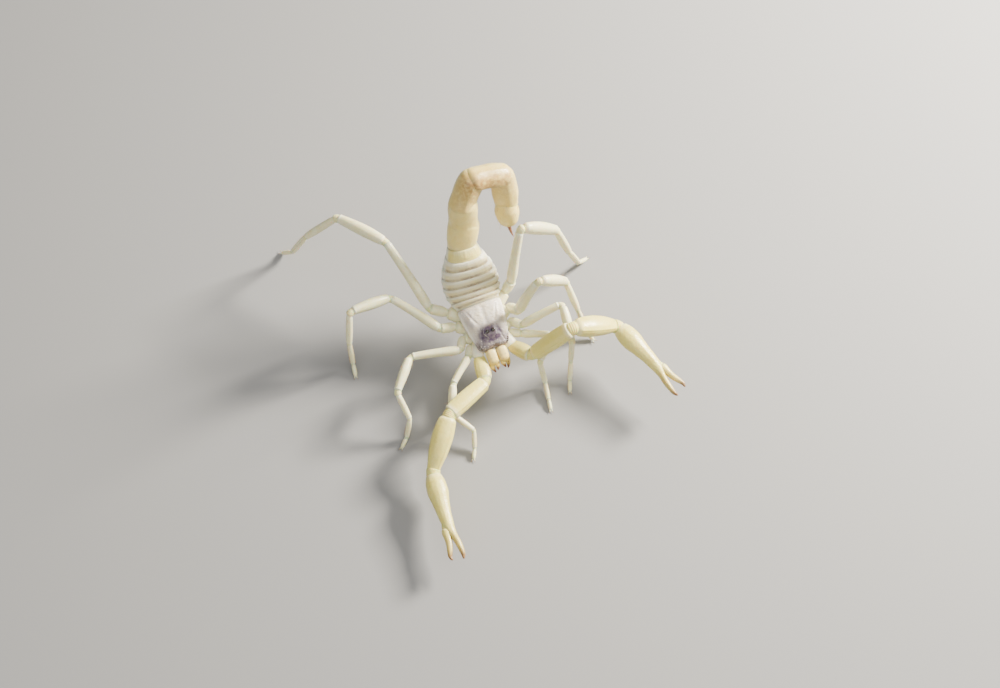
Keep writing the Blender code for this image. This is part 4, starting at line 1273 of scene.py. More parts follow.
class BuildUnderside(bpy.types.Operator):
    """Makes the leg roots, the breastplate, the gill cover and the two combs"""

    bl_idname = "scorpion.build_underside"
    bl_label = "Underside and combs"

    def execute(self, context):
        self.roots()
        self.cover()
        for name, side in SIDES:
            self.comb(name, side)
        return {"FINISHED"}

    def roots(self):
        """Makes the eight leg roots and the breastplate between them."""
        shape = Shape()
        profile = ((0, 0.8), (0.4, 1.0), (0.85, 0.9), (1, 0.72))
        ridges = ((-60, 0.05 * MM, 9, 0.05, 0.9, 0), (60, 0.04 * MM, 9, 0.2, 0.95, 12))
        for _, side in SIDES:
            for number, (hip, _, widths) in LEGS.items():
                x, y, z = ROOT_ENDS[number]
                a = head_point(side * x, y, z)
                b = head_point(side * (hip[0] - 0.15), hip[1], hip[2])
                size = widths[0] * 1.32 + 0.25
                limb(
                    shape, a, b, size, size * 0.9, profile, 50, 30, up=square_to(unit(b - a), HEAD_UP),
                    rough=0.8, grow=0.2, ridges=ridges, rims=((0.93, 0.05 * MM, 0.16),), caps=(0.7, 0.45),
                )
        t = np.linspace(0, 1, 40)
        line = np.array([head_point(0, y, -BREASTPLATE_DEPTH) for y in np.linspace(0.35, 2.2, 40)])
        wide = smooth(t, ((0, 0.42), (0.5, 0.75), (1, 0.62))) * rounded(t, 1.9, 0.25, 0.25)
        high = 0.34 * MM * rounded(t, 1.9, 0.3, 0.3)
        points, normal, degrees = sweep(line, HEAD_UP, wide * MM, high, 40, 2.6)
        groove = -0.09 * hump(degrees[None], 270, 12) * step(t, 0.3, 0.7)[:, None]
        shape.grid(points + normal * (groove * MM)[..., None])
        place(shape.finish("leg_roots", "leg_shell"), "coxae_sternum", "coxae_sternum")

    def cover(self):
        shape = Shape()
        centres, ways, ups = trunk_frame([-0.1])
        way, up = ways[0], ups[0]
        across = np.cross(way, up)
        under = centres[0] - up * GILL_COVER_DEPTH * MM
        for side in (1, -1):
            a = under + across * side * 0.08 * MM
            b = under + across * side * 1.15 * MM + way * 0.25 * MM
            limb(shape, a, b, 1.15, 0.72, ((0, 0.95), (0.5, 1), (1, 0.55)), 30, 30, up=up, rough=0.5)
        rear = under + way * 0.75 * MM
        a, b = rear - across * 0.7 * MM, rear + across * 0.7 * MM
        limb(shape, a, b, 0.9, 0.80, ((0, 0.8), (0.5, 1), (1, 0.8)), 34, 26, up=up, rough=0.6)
        place(shape.finish("gill_cover", "belly_shell"), "coxae_sternum")

    def comb(self, name, side):
        """Makes one comb: its spine of two bars on a stalk, and its teeth."""
        centres, ways, ups = trunk_frame([0.0])
        up = ups[0]
        out = np.cross(ways[0], up) * side
        root = centres[0] - up * COMB_DEPTH * MM
        a = root + ways[0] * 0.6 * MM + out * 0.62 * MM
        b = root + ways[0] * 3.0 * MM + out * 3.1 * MM
        way = unit(b - a)
        rear = square_to(way, ways[0] - out * 0.4)
        shape = Shape()
        limb(
            shape, a, b, 0.55, 0.36, ((0, 1.0), (0.6, 0.85), (1, 0.5)), 60, 22, up=up,
            rims=[(k / 6, -0.05 * MM, 0.05) for k in range(1, 6)], grow=0.5, rough=0.5,
        )
        limb(
            shape, a + rear * 0.30 * MM, b + rear * 0.20 * MM, 0.30, 0.26, ((0, 1.0), (1, 0.6)), 90, 16,
            up=up, rims=[(k / 12, -0.04 * MM, 0.04) for k in range(1, 12)], rough=0.2,
        )
        foot = a + way * 0.35 * MM
        limb(shape, foot + up * 1.15 * MM, foot, 0.55, 0.42, ((0, 1.0), (1, 1.0)), 24, 22, up=way, rough=0.4)
        place(shape.finish(f"comb_spine_{name}", "belly_shell"), f"pecten_{name}", f"pecten_{name}")
        rows = Rows()
        t = np.linspace(0.02, 0.98, 40)[:, None]
        line = (a + rear * 0.40 * MM) * (1 - t) + (b + rear * 0.30 * MM) * t - up * 0.03 * MM
        rows.add(line, rear, 1.0 - 0.25 * t[:, 0])
        teeth = rows.grow(f"comb_teeth_{name}", "belly_shell", 0.165 * MM, 0.072 * MM, 0.42 * MM, 0.15, 1)
        place(teeth, f"pecten_{name}")


def mouth_paint(s, degrees):
    """A dusky net over the middle of a mouthpart, which is paler at its root."""
    turn = np.radians(degrees)
    net = np.cos(s * 26 + 2 * np.cos(turn * 3)) * np.cos(turn * 5)
    return channels(s, degrees, 0.42 * step(net, 0.2, 0.8) * step(s, 0.35, 0.6), 0.25 * (1 - s))


class BuildMouth(bpy.types.Operator):
    """Makes the two mouthparts with their toothed pincers"""

    bl_idname = "scorpion.build_mouth"
    bl_label = "Mouthparts"

    def execute(self, context):
        rows = Rows()
        for name, side in SIDES:
            self.mouthpart(name, side, rows)
        teeth = rows.grow("mouth_teeth", "horn_tip", 0.2 * MM, 0.065 * MM, 0.13 * MM, 0.6, 3)
        place(teeth, "chelicera_left")
        return {"FINISHED"}

    def mouthpart(self, name, side, rows):
        shape = Shape()
        a = head_point(side * 0.80, -3.35, 0.1)
        b = head_point(side * 0.82, -5.75, -0.32)
        way = unit(b - a)
        up = square_to(way, HEAD_UP)
        out = side * np.array((1.0, 0, 0))
        limb(
            shape, a, b, 1.62, 1.44, ((0, 0.90), (0.35, 1.0), (0.7, 1.0), (1, 0.80)), 60, 44, up=up,
            rough=0.8, grow=0.25, paint=mouth_paint, caps=(0.6, 0.75),
            ridges=((40, 0.03 * MM, 8, 0.3, 0.95, 10),),
        )
        for aside, length, bend, columns in PINCERS:
            moving = aside > 0
            root = b + out * aside * MM - way * 0.35 * MM - up * (0.16 if moving else 0.08) * MM
            aim = unit(way - 0.28 * up * moving + 0.10 * out * np.sign(aside))
            points = horn(
                shape, root, aim, out, length, bend, 0.34, 0.06, 30, 20, flat=1.25,
                profile=((0, 1), (0.45, 0.72), (1, 0)), dark=lambda t: step(t, 0.35, 0.8),
            )
            line = points[9:27, columns[name]]
            rows.add(line, line - points[9:27].mean(1), np.linspace(1.5, 0.8, 18))
        place(shape.finish(f"mouthpart_{name}", "mouth_shell"), f"chelicera_{name}", f"chelicera_{name}")


def tail_line():
    """The joints of the tail from the trunk's last joint but one, and each piece's upper side."""
    centres, _, ups = trunk_frame([6.0, 7.0])
    point, back_up = centres[1], ups[1]
    points, uppers = [centres[0], point], []
    for k, (length, _, _, turn, rise) in enumerate(TAIL):
        following = point + heading(turn, rise) * length * MM
        inside = unit(TAIL_INSIDE + SHIFT - (point + following) / 2)
        share = min(1.0, 0.35 * (k + 1))
        uppers.append(square_to(heading(turn, rise), back_up * (1 - share) + inside * share))
        points.append(following)
        point = following
    return points, uppers


def tail_ridges(k, keel):
    """A tail ring's keels, the hollow along its upper side and, on the last ring, one keel below."""
    ridges = ridges_at(MAIN_KEELS, 0.55 * keel, 11, 0.20, 0.80)
    ridges += ridges_at(SIDE_KEELS, 0.4 * keel, 9, 0.45 if k else 0.22, 0.80)
    ridges += ridges_at(LOW_KEELS, 0.35 * keel, 9, 0.20, 0.78)
    ridges += ridges_at((90,), -0.5 * keel, 20, 0.18, 0.82)
    if k == TAIL_RINGS - 1:
        ridges += ridges_at((-90,), 0.35 * keel, 9, 0.20, 0.78)
    return ridges


def tail_paint(s, degrees, k):
    """How much painted shade, in amber brown, ring k gets inside the tail's arch, most of all on its upper
    side. The first ring is pale at its start.
    """
    inside = step(np.sin(np.radians(degrees - 35)), -0.7, 0.9)
    start, end = TAIL_ARCH_SHADE[k]
    # Painted shade inside the tail's arch, strongest on the ring's upper side.
    amber = (start + (end - start) * s) * (0.25 + 0.75 * inside)
    return channels(s, degrees, amber, 0 if k else 0.25 * (1 - step(s, 0.1, 0.5)))


def sting_paint(s, degrees):
    pale = 0.25 * (1 - step(s, 0.1, 0.3))
    return channels(s, degrees, 0.10 * step(s, 0.1, 0.4), pale, 0.35 * step(s, 0.72, 1.0))


class BuildTail(bpy.types.Operator):
    """Makes the five keeled tail rings, the sting's bulb and its curved spine"""

    bl_idname = "scorpion.build_tail"
    bl_label = "Tail and sting"

    def execute(self, context):
        points, ups = tail_line()
        rows = Rows()
        for k in range(TAIL_RINGS):
            self.ring(k, points, ups[k], context.scene.scorpion_shape.keel, rows)
        beads = rows.grow("tail_keel_grains", "tail_shell", 0.17 * MM, 0.05 * MM, 0.055 * MM, 0.55, 6)
        place(beads, "tail_1")
        self.bulb(points, ups[5])
        self.spine(points, ups[6])
        return {"FINISHED"}

    def ring(self, k, points, up, keel, rows):
        """Makes one ring. Both its ends reach past the joints, into its neighbours."""
        shape = Shape()
        width, height = TAIL[k][1:3]
        a, b = trim(points, k + 1, 0.0, -0.42 * height)
        first = 0.97 * (TAIL[k - 1][1] / width if k else 0.93)
        last = 0.985 if k < TAIL_RINGS - 1 else 0.93
        profile = ((0, first), (0.2, first), (0.4, 0.99), (0.62, 1.02), (0.82, last), (1, last))
        surface, normal = limb(
            shape, a, b, width, height, profile, 110, 96, up=up, power=2.08, rough=1.0,
            ridges=tail_ridges(k, keel), paint=lambda s, degrees: tail_paint(s, degrees, k), grow=0.35,
            caps=(0.84, 0.84), bow=TAIL_BOWS[k],
        )
        place(shape.finish(f"tail_ring_{k + 1}", "tail_shell"), f"tail_{k + 1}", f"tail_{k + 1}")
        for angles, start in ((MAIN_KEELS, 34), (SIDE_KEELS, 50), (LOW_KEELS, 34)):
            rows.ridges(surface, normal, angles, start, 78, np.linspace(0.6, 1.0, 78 - start))

    def bulb(self, points, up):
        shape = Shape()
        a, b = trim(points, 6, 0.0, -0.15)
        a = a - unit(b - a) * 0.75 * MM
        ridges = [(angle, 0.05 * MM, 7, 0.1, 0.8, 14) for angle in (-60, 240)]
        ridges += ridges_at((90,), -0.05 * MM, 14, 0.1, 0.7)
        limb(
            shape, a, b + unit(b - a) * 0.25 * MM, 3.5, 3.0,
            ((0, 0.84), (0.2, 0.90), (0.48, 1.05), (0.76, 0.88), (1, 0.46)), 90, 72, up=up, power=2.05,
            rough=1.0, ridges=ridges, paint=sting_paint, grow=1.6, caps=(0.7, 0.4),
        )
        place(shape.finish("sting_bulb_shell", "tail_shell"), "sting_bulb", "sting_bulb")

    def spine(self, points, up):
        shape = Shape()
        way = unit(points[-1] - points[-2])
        horn(
            shape, points[-2] - way * 0.25 * MM, way, -up, 2.75, 0.75, 0.50, 0.035, 60, 28,
            profile=((0, 1), (0.25, 0.62), (0.6, 0.34), (1, 0)),
            dark=lambda t: 0.25 + 0.75 * step(t, 0.1, 0.6),
        )
        place(shape.finish("sting_spine_horn", "horn_tip"), "sting_spine", "sting_spine")


def leg_paint(s, degrees):
    """Paler at both ends of a leg piece."""
    knot = 0.30 * step(s, 0.82, 0.98) + 0.22 * (1 - step(s, 0.02, 0.15))
    return channels(s, degrees, 0.05 * step(s, 0.9, 0.99), knot)


class BuildLegs(bpy.types.Operator):
    """Makes the eight legs, each with its hip ring, long pieces, spurs, combs and two toe claws"""

    bl_idname = "scorpion.build_legs"
    bl_label = "Legs"

    def execute(self, context):
        rows = Rows()
        combs = Rows()
        for name, side in SIDES:
            for number, (hip, lengths, widths) in LEGS.items():
                toe = (widths[-1] / 2 - 0.12) * MM
                points = chain(side, hip, lengths, LEG_POSE[name, number], toe)
                leg = f"leg_{number}_{name}"
                length, turn, rise = HIP_RINGS[name, number]
                self.thigh(leg, points, widths[0], outward(side, turn, rise), length, rows)
                self.knee(leg, points, widths[1], rows)
                self.foot(leg, points, widths, combs)
        grains = rows.grow("leg_keel_grains", "leg_shell", 0.15 * MM, 0.035 * MM, 0.045 * MM, 0.6, 7)
        place(grains, "leg_3_left_femur")
        spines = combs.grow("foot_comb_spines", "bristle", 0.13 * MM, 0.018 * MM, 0.16 * MM, 0.9, 8)
        place(spines, "leg_3_left_foot")
        return {"FINISHED"}

    def finish(self, shape, name, node):
        place(shape.finish(name, "leg_shell", "leg_joint_skin"), node, node)

    def thigh(self, leg, points, width, hip_way, length, rows):
        """Makes the hip ring and the thigh, with the joint skin at both ends of the thigh."""
        shoulder = points[0] + hip_way * length * MM
        _, end = trim([shoulder] + points[1:], 0, LEG_TRIM * width, 0.03)
        way = unit(end - shoulder)
        shape = Shape()
        limb(
            shape, points[0] - hip_way * 0.35 * MM, shoulder + hip_way * 0.12 * MM, width, width * 1.12,
            ((0, 0.72), (0.45, 1.05), (0.8, 1.0), (1, 0.84)), 40, 28, grow=0.4, paint=leg_paint,
            caps=(0.5, 0.6), rims=((0.82, 0.04 * MM, 0.1),),
        )
        bridge(shape, shoulder, hip_way, shoulder, end, (0.35, 0.55), 0.44 * width, 0.44 * width)
        long = np.linalg.norm(end - shoulder) / MM
        ridges = ridges_at((78, -72), 0.035 * MM, 9, 0.1, 0.92)
        ridges += ridges_at((-110,), 0.03 * MM, 9, 0.1, 0.92)
        surface, normal = limb(
            shape, shoulder + way * 0.12 * MM, end, width * 0.92, width * 1.10,
            ((0, 0.90), (0.15, 1.12), (0.5, 0.99), (0.86, 0.90), (1, 0.82)), 80, 40, grow=0.5,
            bow=0.03 * long, paint=leg_paint, caps=(0.6, 0.5), rims=((0.95, 0.045 * MM, 0.12),),
            ridges=ridges,
        )
        rows.ridges(surface, normal, (78, -72, -110), 10, 70, 0.9)
        bridge(shape, end, way, points[1], points[2], (0.5, 0.6), 0.40 * width, 0.41 * width)
        self.finish(shape, f"{leg}_thigh", f"{leg}_femur")

    def knee(self, leg, points, width, rows):
        a, b = trim(points, 1, LEG_TRIM * width, 0.03)
        shape = Shape()
        long = np.linalg.norm(b - a) / MM
        ridges = ridges_at((84,), 0.03 * MM, 9, 0.1, 0.92)
        ridges += ridges_at((-84,), 0.035 * MM, 9, 0.12, 0.9)
        ridges += ridges_at((8,), 0.02 * MM, 8, 0.15, 0.85)
        surface, normal = limb(
            shape, a, b, width * 0.90, width * 1.10,
            ((0, 0.74), (0.12, 0.92), (0.42, 1.06), (0.85, 0.88), (1, 0.74)), 70, 40, grow=0.6,
            bow=0.025 * long, paint=leg_paint, caps=(0.6, 0.5), rims=((0.95, 0.04 * MM, 0.12),),
            ridges=ridges,
        )
        rows.ridges(surface, normal, (-84, 8), 10, 60, 0.75)
        bridge(shape, b, unit(b - a), points[2], points[3], (0.45, 0.5), 0.34 * width, 0.35 * width)
        self.finish(shape, f"{leg}_knee", f"{leg}_patella")

    def foot(self, leg, points, widths, combs):
        """Makes the three last pieces of a leg, with their spurs, comb spines and claws."""
        shape = Shape()
        ridges = ridges_at((90,), 0.015 * MM, 10, 0.1, 0.9) + ridges_at((-90,), 0.02 * MM, 10, 0.1, 0.9)
        for k, profile in enumerate(FOOT_PROFILES):
            a, b = points[2 + k], points[3 + k]
            if k == 0:
                a, _ = trim(points, 2, LEG_TRIM * widths[2], 0.03)
            way = unit(b - a)
            width = widths[2 + k]
            a, b = a + way * (0.06 * MM if k else 0), b - way * 0.05 * MM
            surface, normal = limb(
                shape, a, b, width * 0.95, width * 1.05, profile, 56, 32, grow=0.9, power=2.2,
                paint=leg_paint, caps=(0.55, 0.5), rims=((0.95, 0.03 * MM, 0.1),), ridges=ridges,
            )
            lean = normal + way * 0.5
            if k < 2:
                size = 0.42 * min(width, widths[3 + k])
                bridge(shape, b, way, points[3 + k], points[4 + k], (0.3, 0.35), size, size)
                self.spurs(shape, surface, -normal[46, 8], way)
            if k == 1:
                for column in (3, 13):
                    combs.add(surface[8:48, column], lean[8:48, column], 1.2)
            if k == 2:
                for column in (21, 27):
                    clear = surface[8:48, column, 2] > COMB_CLEARANCE
                    if clear.sum() > 4:
                        combs.add(surface[8:48, column][clear], lean[8:48, column][clear], 0.6)
                self.claws(shape, b, way, width)
        shape.flatten_bottom()
        self.finish(shape, f"{leg}_foot_shell", f"{leg}_foot")

    def spurs(self, shape, surface, down, way):
        for column in (20, 28):
            horn(
                shape, surface[50, column] - way * 0.05 * MM, unit(way * 0.8 + down * 0.5), way, 0.42, 0.1,
                0.07, 0.015, 12, 10, dark=lambda t: step(t, 0.3, 0.9),
            )

    def claws(self, shape, toe, way, width):
        """Makes the toe's two claws and the short point between them."""
        lift = limb_up(way)
        across = unit(np.cross(way, lift))
        ahead = unit(np.array((way[0], way[1], 0.0)) + 1e-9)
        for spread in (-1, 1):
            aim = unit(way * 0.6 + ahead * 0.7 + across * spread * 0.42)
            root = toe - way * 0.12 * MM + across * spread * 0.12 * width * MM
            root = np.array((root[0], root[1], max(root[2], LOWEST_CLAW_ROOT)))
            horn(
                shape, root, unit(aim * (1, 1, 0.1) + (0, 0, 0.12)), np.array((0, 0, -1.0)), 0.72, 0.17,
                0.10, 0.012, 16, 12, dark=lambda t: step(t, 0.25, 0.85),
            )
        horn(shape, toe - way * 0.1 * MM, unit(ahead + lift * 0.1), -lift, 0.22, 0.05, 0.09, 0.02, 10, 10)


def arm_paint(s, degrees, k):
    """How pale the ends of arm piece k are. The first piece is a little dusky, the third has a plain end."""
    knot = 0.5 * step(s, 0.84, 0.97) * (k < 2) + 0.4 * (1 - step(s, 0.02, 0.12))
    return channels(s, degrees, 0.14 * (k == 0) * step(s, 0.2, 0.7), knot)


class BuildArms(bpy.types.Operator):
    """Makes the two arms with their keels, joint skin, swollen hands and toothed fingers"""

    bl_idname = "scorpion.build_arms"
    bl_label = "Arms and claws"

    def execute(self, context):
        rows = Rows()
        teeth = Rows()
        for name, side in SIDES:
            points = chain(side, ARM_ROOT, ARM_LENGTHS, ARM_POSE[name])
            self.root(side, name, points)
            for k in range(3):
                self.segment(k, side, name, points, rows)
            self.claw(side, name, points, rows, teeth)
        grains = rows.grow("arm_keel_grains", "arm_shell", 0.17 * MM, 0.048 * MM, 0.06 * MM, 0.6, 9)
        place(grains, "arm_left_femur")
        height = context.scene.scorpion_shape.tooth * 0.75
        row = teeth.grow("finger_teeth", "horn_tip", 0.15 * MM, 0.055 * MM, height, 0.6, 10)
        place(row, "claw_left_finger")
        return {"FINISHED"}

    def root(self, side, name, points):
        """Makes the arm's root under the head shield and the lobe before the mouth."""
        shape = Shape()
        a, b = head_point(side * 1.75, -0.7, -0.95), head_point(side * 2.72, -3.95, -1.0)
        way = unit(b - a)
        limb(
            shape, a, b, 1.85, 1.9, ((0, 0.6), (0.4, 0.9), (0.85, 1.0), (1, 0.8)), 60, 40,
            up=square_to(way, HEAD_UP), rough=0.8, grow=0.3, caps=(0.9, 0.55),
            rims=((0.93, 0.06 * MM, 0.18),),
            paint=lambda s, degrees: channels(s, degrees, 0.0, 0.75 * step(s, 0.1, 0.6)),
        )
        bridge(shape, b, way, points[0], points[1], (0.4, 0.8), 0.75, 0.72)
        a, b = head_point(side * 1.2, -2.2, -1.6), head_point(side * 0.62, -3.7, -1.6)
        limb(shape, a, b, 1.3, 0.9, ((0, 0.7), (0.5, 1), (1, 0.7)), 36, 24, up=HEAD_UP, rough=0.6, grow=0.5)
        place(shape.finish(f"arm_root_{name}", "arm_shell", "arm_joint_skin"), f"arm_{name}_trochanter")

    def segment(self, k, side, name, points, rows):
        part, width, height, profile, bow = ARM_PIECES[k]
        shape = Shape()
        a, b = trim(points, k, ARM_TRIM * width, 0.0)
        long = np.linalg.norm(b - a) / MM
        ridges = ridges_at(ARM_KEELS, 0.06 * MM, 7, 0.06, 0.93)
        surface, normal = limb(
            shape, a, b, width, height, profile, 100, 72, power=2.35, rough=1.0, bow=bow * long, grow=0.45,
            ridges=ridges + ridges_at((180 if side > 0 else 0,), 0.04 * MM, 7, 0.1, 0.9), caps=(0.6, 0.5),
            paint=lambda s, degrees: arm_paint(s, degrees, k),
            rims=((0.955, 0.04 * MM, 0.16), (0.03, 0.03 * MM, 0.1)),
        )
        rows.ridges(surface, normal, ARM_KEELS, 10, 92, 1.25 if k == 1 else 1.0)
        size = 0.395 * min(width, ARM_JOINT_WIDTHS[k])
        bridge(shape, b, unit(b - a), points[k + 1], points[k + 2], (0.6, 0.75), size * 1.05, size)
        made = shape.finish(f"arm_{name}_{part}_shell", "arm_shell", "arm_joint_skin")
        place(made, f"arm_{name}_{part}", f"arm_{name}_{part}")

    def claw(self, side, name, points, rows, teeth):
        """Makes the hand with its fixed finger, then the moving finger."""
        wrist = points[3]
        way = unit(points[4] - wrist)
        up = limb_up(way)
        outer = np.cross(way, up)
        if outer[0] * side < 0:
            outer = -outer
        turn = math.radians(FINGER_SWING)
        finger_way = way * math.cos(turn) - outer * math.sin(turn)
        start, _ = trim(points, 3, ARM_TRIM * WRIST_WIDTH, 0.0)
        retreat = np.linalg.norm(start - wrist) / MM
        s = np.linspace(0, 1, HAND_ROWS)
        d = retreat + (CLAW_LENGTH - retreat) * s
        palm, beyond = np.minimum(d, PALM_LENGTH), np.maximum(d - PALM_LENGTH, 0)
        centres = wrist + np.outer(palm * MM, way) + np.outer(beyond * MM, finger_way)
        centres = centres + np.outer(smooth(d, HAND_SHIFTS) * MM, outer)
        close = rounded(s, CLAW_LENGTH - retreat, 0.45, 0.22)
        wide = smooth(d, ((retreat, 0.94), *HAND_WIDTHS)) * close * MM
        high = smooth(d, ((retreat, 0.88), *HAND_HEIGHTS)) * close * MM
        surface, normal, degrees = sweep(centres, up, wide, high, HAND_COLS, 2.1)
        s = ((d - retreat) / (CLAW_LENGTH - retreat))[:, None]
        lift = keels(s, degrees[None], ridges_at((35, 90, 145, -40, 220), 0.04 * MM, 10, 0.06, 0.62))
        lift = lift + bpy.context.scene.scorpion_shape.grain * (fine_grain(surface) - 0.8)
        surface = surface + normal * (lift * close[:, None])[..., None]
        dark = 0.30 * step(d, 8.6, 10.6) + 0.60 * step(d, CLAW_LENGTH - 1.9, CLAW_LENGTH - 0.2)
        marks = channels(s, degrees[None], 0.0, 0.3 * (1 - step(s, 0.0, 0.12)), dark[:, None])
        shape = Shape()
        shape.grid(surface, marks, way, 0.55 * (1 - 0.5 * step(s, 0.5, 0.6)))
        root = wrist + way * (PALM_LENGTH + 0.05) * MM + outer * 0.42 * MM
        sleeve(
            shape, root - way * 1.0 * MM - outer * 0.2 * MM, root - way * 0.5 * MM,
            root + finger_way * 0.3 * MM, 0.6, 0.46, 4,
        )
        made = shape.finish(f"claw_{name}_hand", "arm_shell", "arm_joint_skin")
        place(made, f"claw_{name}_palm", f"claw_{name}_palm")
        outer_column = 0 if np.dot(np.cross(way, up), outer) > 0 else HAND_COLS // 2
        low = int(np.searchsorted(d, PALM_LENGTH + 0.8))
        line, aims = surface[low:-8, outer_column + 1], normal[low:-8, outer_column + 1]
        teeth.add(line, aims, np.linspace(1.0, 0.6, len(line)))
        rows.ridges(surface, normal, (35, 90, 145), 14, 110, 0.8)
        self.finger(name, root, finger_way, up, outer, teeth)

    def finger(self, name, root, finger_way, up, outer, teeth):
        opening = math.radians(FINGER_OPENING[name])
        side_way = np.cross(finger_way, up)
        if np.dot(side_way, outer) < 0:
            side_way = -side_way
        along = finger_way * math.cos(opening) + side_way * math.sin(opening)
        sideways = side_way * math.cos(opening) - finger_way * math.sin(opening)
        span = FINGER_LENGTH + 0.05
        t = np.linspace(0, 1, FINGER_ROWS)
        arch = 0.12 * np.sin(np.pi * t) - 0.26 * np.sin(np.pi * t) ** 2 - 0.22 * step(t, 0.80, 1.0) ** 2
        centres = root + np.outer((t * span - 0.35) * MM, along) + np.outer(arch * MM, sideways)
        half = smooth(t, FINGER_WIDTHS)
        close = rounded(t, span, 0.35, 0.2)
        wide, high = half * close * MM, half * 1.06 * close * MM
        surface, normal, degrees = sweep(centres, up, wide, high, FINGER_COLS, 2.1)
        s, angles = t[:, None], degrees[None]
        ridges = ridges_at((40, 140, -50), 0.03 * MM, 9, 0.04, 0.8)
        surface = surface + normal * keels(s, angles, ridges)[..., None]
        dark = 0.30 * step(s, 0.0, 0.45) + 0.60 * step(s, 0.60, 0.97)
        shape = Shape()
        shape.grid(surface, channels(s, angles, 0.0, 0.25 * (1 - step(s, 0.0, 0.15)), dark), along, 0.5)
        made = shape.finish(f"claw_{name}_finger_shell", "arm_shell")
        place(made, f"claw_{name}_finger", f"claw_{name}_finger")
        inner = FINGER_COLS // 2 if np.dot(np.cross(along, up), outer) > 0 else 0
        line = surface[8:-6, inner + 1]
        teeth.add(line, normal[8:-6, inner + 1], np.linspace(1.0, 0.6, len(line)))


class BuildBristles(bpy.types.Operator):
    """Grows fine amber bristles on the legs, arms, tail and back"""

    bl_idname = "scorpion.build_bristles"
    bl_label = "Bristles"

    def execute(self, context):
        sizes = context.scene.scorpion_shape
        for label, node, starts, density, length in BRISTLES:
            made = bristle_tree().grow_on(
                skins_of(starts, label + "_skin"),
                label,
                Density=sizes.bristle_density * density / MM**2,
                Length=sizes.bristle * length,
                Thickness=BRISTLE_RADIUS,
                Lean=BRISTLE_LEAN,
                Seed=sizes.seed,
                Material=coat_named("bristle"),
            )
            place(made, node)
        return {"FINISHED"}


def skins_of(starts, name):
    """One mesh of every finished skin whose name starts so, with where and how its bristles grow."""
    points, faces, extra = [], [], {"lie": [], "grow": [], "wrap": []}
    count = 0
    for made, kept in KEPT.items():
        if not made.startswith(starts):
            continue
        mesh = bpy.data.objects[made].data
        mesh.calc_loop_triangles()
        co = np.empty((len(mesh.vertices), 3), np.float32)
        mesh.vertices.foreach_get("co", co.reshape(-1))
        tris = np.empty(len(mesh.loop_triangles) * 3, np.int32)
        mesh.loop_triangles.foreach_get("vertices", tris)
        points.append(co)
        faces.append(tris + count)
        clear = step(co[:, 2], FLOOR_CLEARANCE, FLOOR_CLEARANCE * 1.5)
        for key, values in extra.items():
            values.append(kept[key] * clear if key == "grow" else kept[key])
        count += len(co)
    corners = np.concatenate(faces)
    mesh = mesh_of(name, np.concatenate(points), corners, np.full(len(corners) // 3, 3))
    for key, kind in (("lie", "FLOAT_VECTOR"), ("grow", "FLOAT"), ("wrap", "FLOAT2")):
        store(mesh, key, kind, np.concatenate(extra[key]))
    return in_scene(name, mesh)


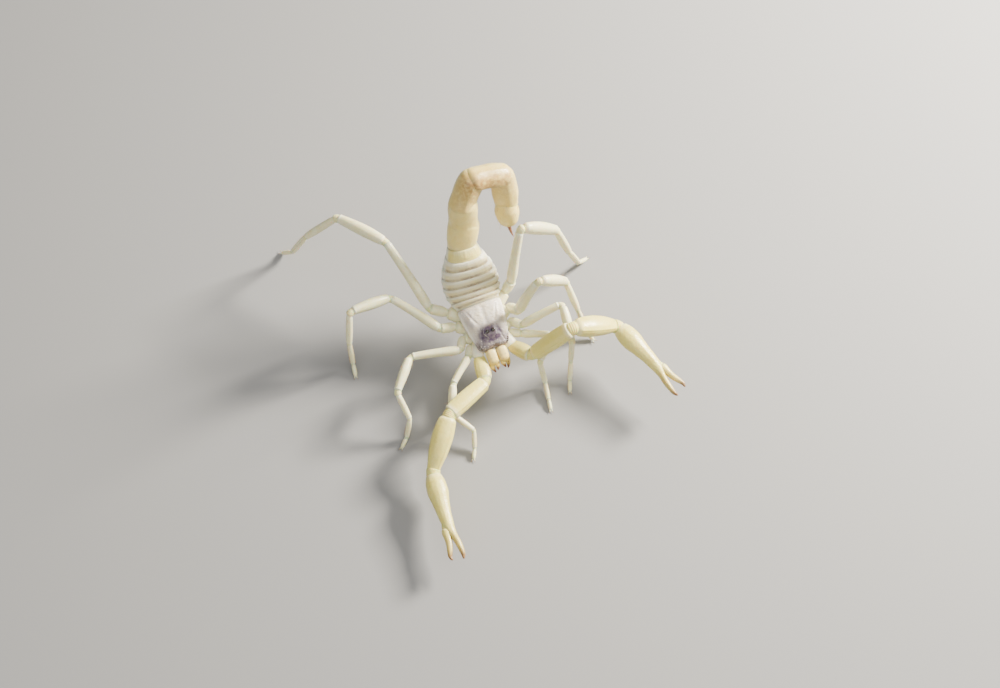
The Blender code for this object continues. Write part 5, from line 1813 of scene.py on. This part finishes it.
class BuildStage(bpy.types.Operator):
    """Lays the pale floor, sets the soft studio lights and the camera"""

    bl_idname = "scorpion.build_stage"
    bl_label = "Stage"

    def execute(self, context):
        self.floor(context.scene.scorpion_colours.floor)
        self.camera(context.scene)
        for lamp in LAMPS:
            self.lamp(*lamp)
        world = context.scene.world or bpy.data.worlds.new("studio")
        context.scene.world = world
        world.use_nodes = True
        sky = world.node_tree.nodes["Background"].inputs
        sky[0].default_value, sky[1].default_value = WORLD_TINT, WORLD_STRENGTH
        return {"FINISHED"}

    def floor(self, tint):
        mesh = bpy.data.meshes.new("stage_floor")
        corners = ((-1, -1), (1, -1), (1, 1), (-1, 1))
        mesh.from_pydata([(x * FLOOR_HALF_SIZE, y * FLOOR_HALF_SIZE, 0) for x, y in corners], [], [range(4)])
        floor = in_scene("stage_floor", mesh)
        coat = bpy.data.materials.new("stage_pale")
        coat.use_nodes = True
        shader = coat.node_tree.nodes["Principled BSDF"]
        shader.inputs["Base Color"].default_value = (*tint, 1)
        shader.inputs["Roughness"].default_value = 0.9
        mesh.materials.append(coat)

    def camera(self, scene):
        turn, rise = math.radians(CAMERA_TURN), math.radians(CAMERA_RISE)
        back = Vector((math.sin(turn) * math.cos(rise), -math.cos(turn) * math.cos(rise), math.sin(rise)))
        camera = in_scene("camera", bpy.data.cameras.new("camera"))
        camera.location = CAMERA_AIM + back * CAMERA_REACH
        camera.rotation_euler = (-back).to_track_quat("-Z", "Y").to_euler()
        camera.data.lens, camera.data.sensor_width = CAMERA_LENS, CAMERA_SENSOR
        camera.data.clip_start = CAMERA_CLIP
        scene.camera = camera

    def lamp(self, name, where, width, power, tint):
        lamp = bpy.data.lights.new(name, "AREA")
        lamp.size, lamp.energy, lamp.color = width, power, tint
        made = in_scene(name, lamp)
        made.location = where
        made.rotation_euler = (Vector(where) - CAMERA_AIM).to_track_quat("Z", "Y").to_euler()


BUILDERS = (
    BuildShield,
    BuildMouth,
    BuildUnderside,
    BuildTrunk,
    BuildTail,
    BuildArms,
    BuildLegs,
    BuildBristles,
    BuildStage,
)


class ScorpionPanel(bpy.types.Panel):
    bl_idname = "SCORPION_PT_build"
    bl_label = "Desert Scorpion"
    bl_space_type = "VIEW_3D"
    bl_region_type = "UI"
    bl_category = "Scorpion"

    def draw(self, context):
        column = self.layout.column()
        for builder in BUILDERS:
            column.operator(builder.bl_idname)
        for group in (context.scene.scorpion_shape, context.scene.scorpion_colours):
            for key in group.__annotations__:
                column.prop(group, key)


CLASSES = (ScorpionShape, ScorpionColours, *BUILDERS, ScorpionPanel)


def register():
    for one in CLASSES:
        bpy.utils.register_class(one)
    bpy.types.Scene.scorpion_shape = PointerProperty(type=ScorpionShape)
    bpy.types.Scene.scorpion_colours = PointerProperty(type=ScorpionColours)


def unregister():
    del bpy.types.Scene.scorpion_colours
    del bpy.types.Scene.scorpion_shape
    for one in reversed(CLASSES):
        bpy.utils.unregister_class(one)


def main():
    register()
    for builder in BUILDERS:
        group, name = builder.bl_idname.split(".")
        getattr(getattr(bpy.ops, group), name)()


if __name__ == "__main__":
    main()
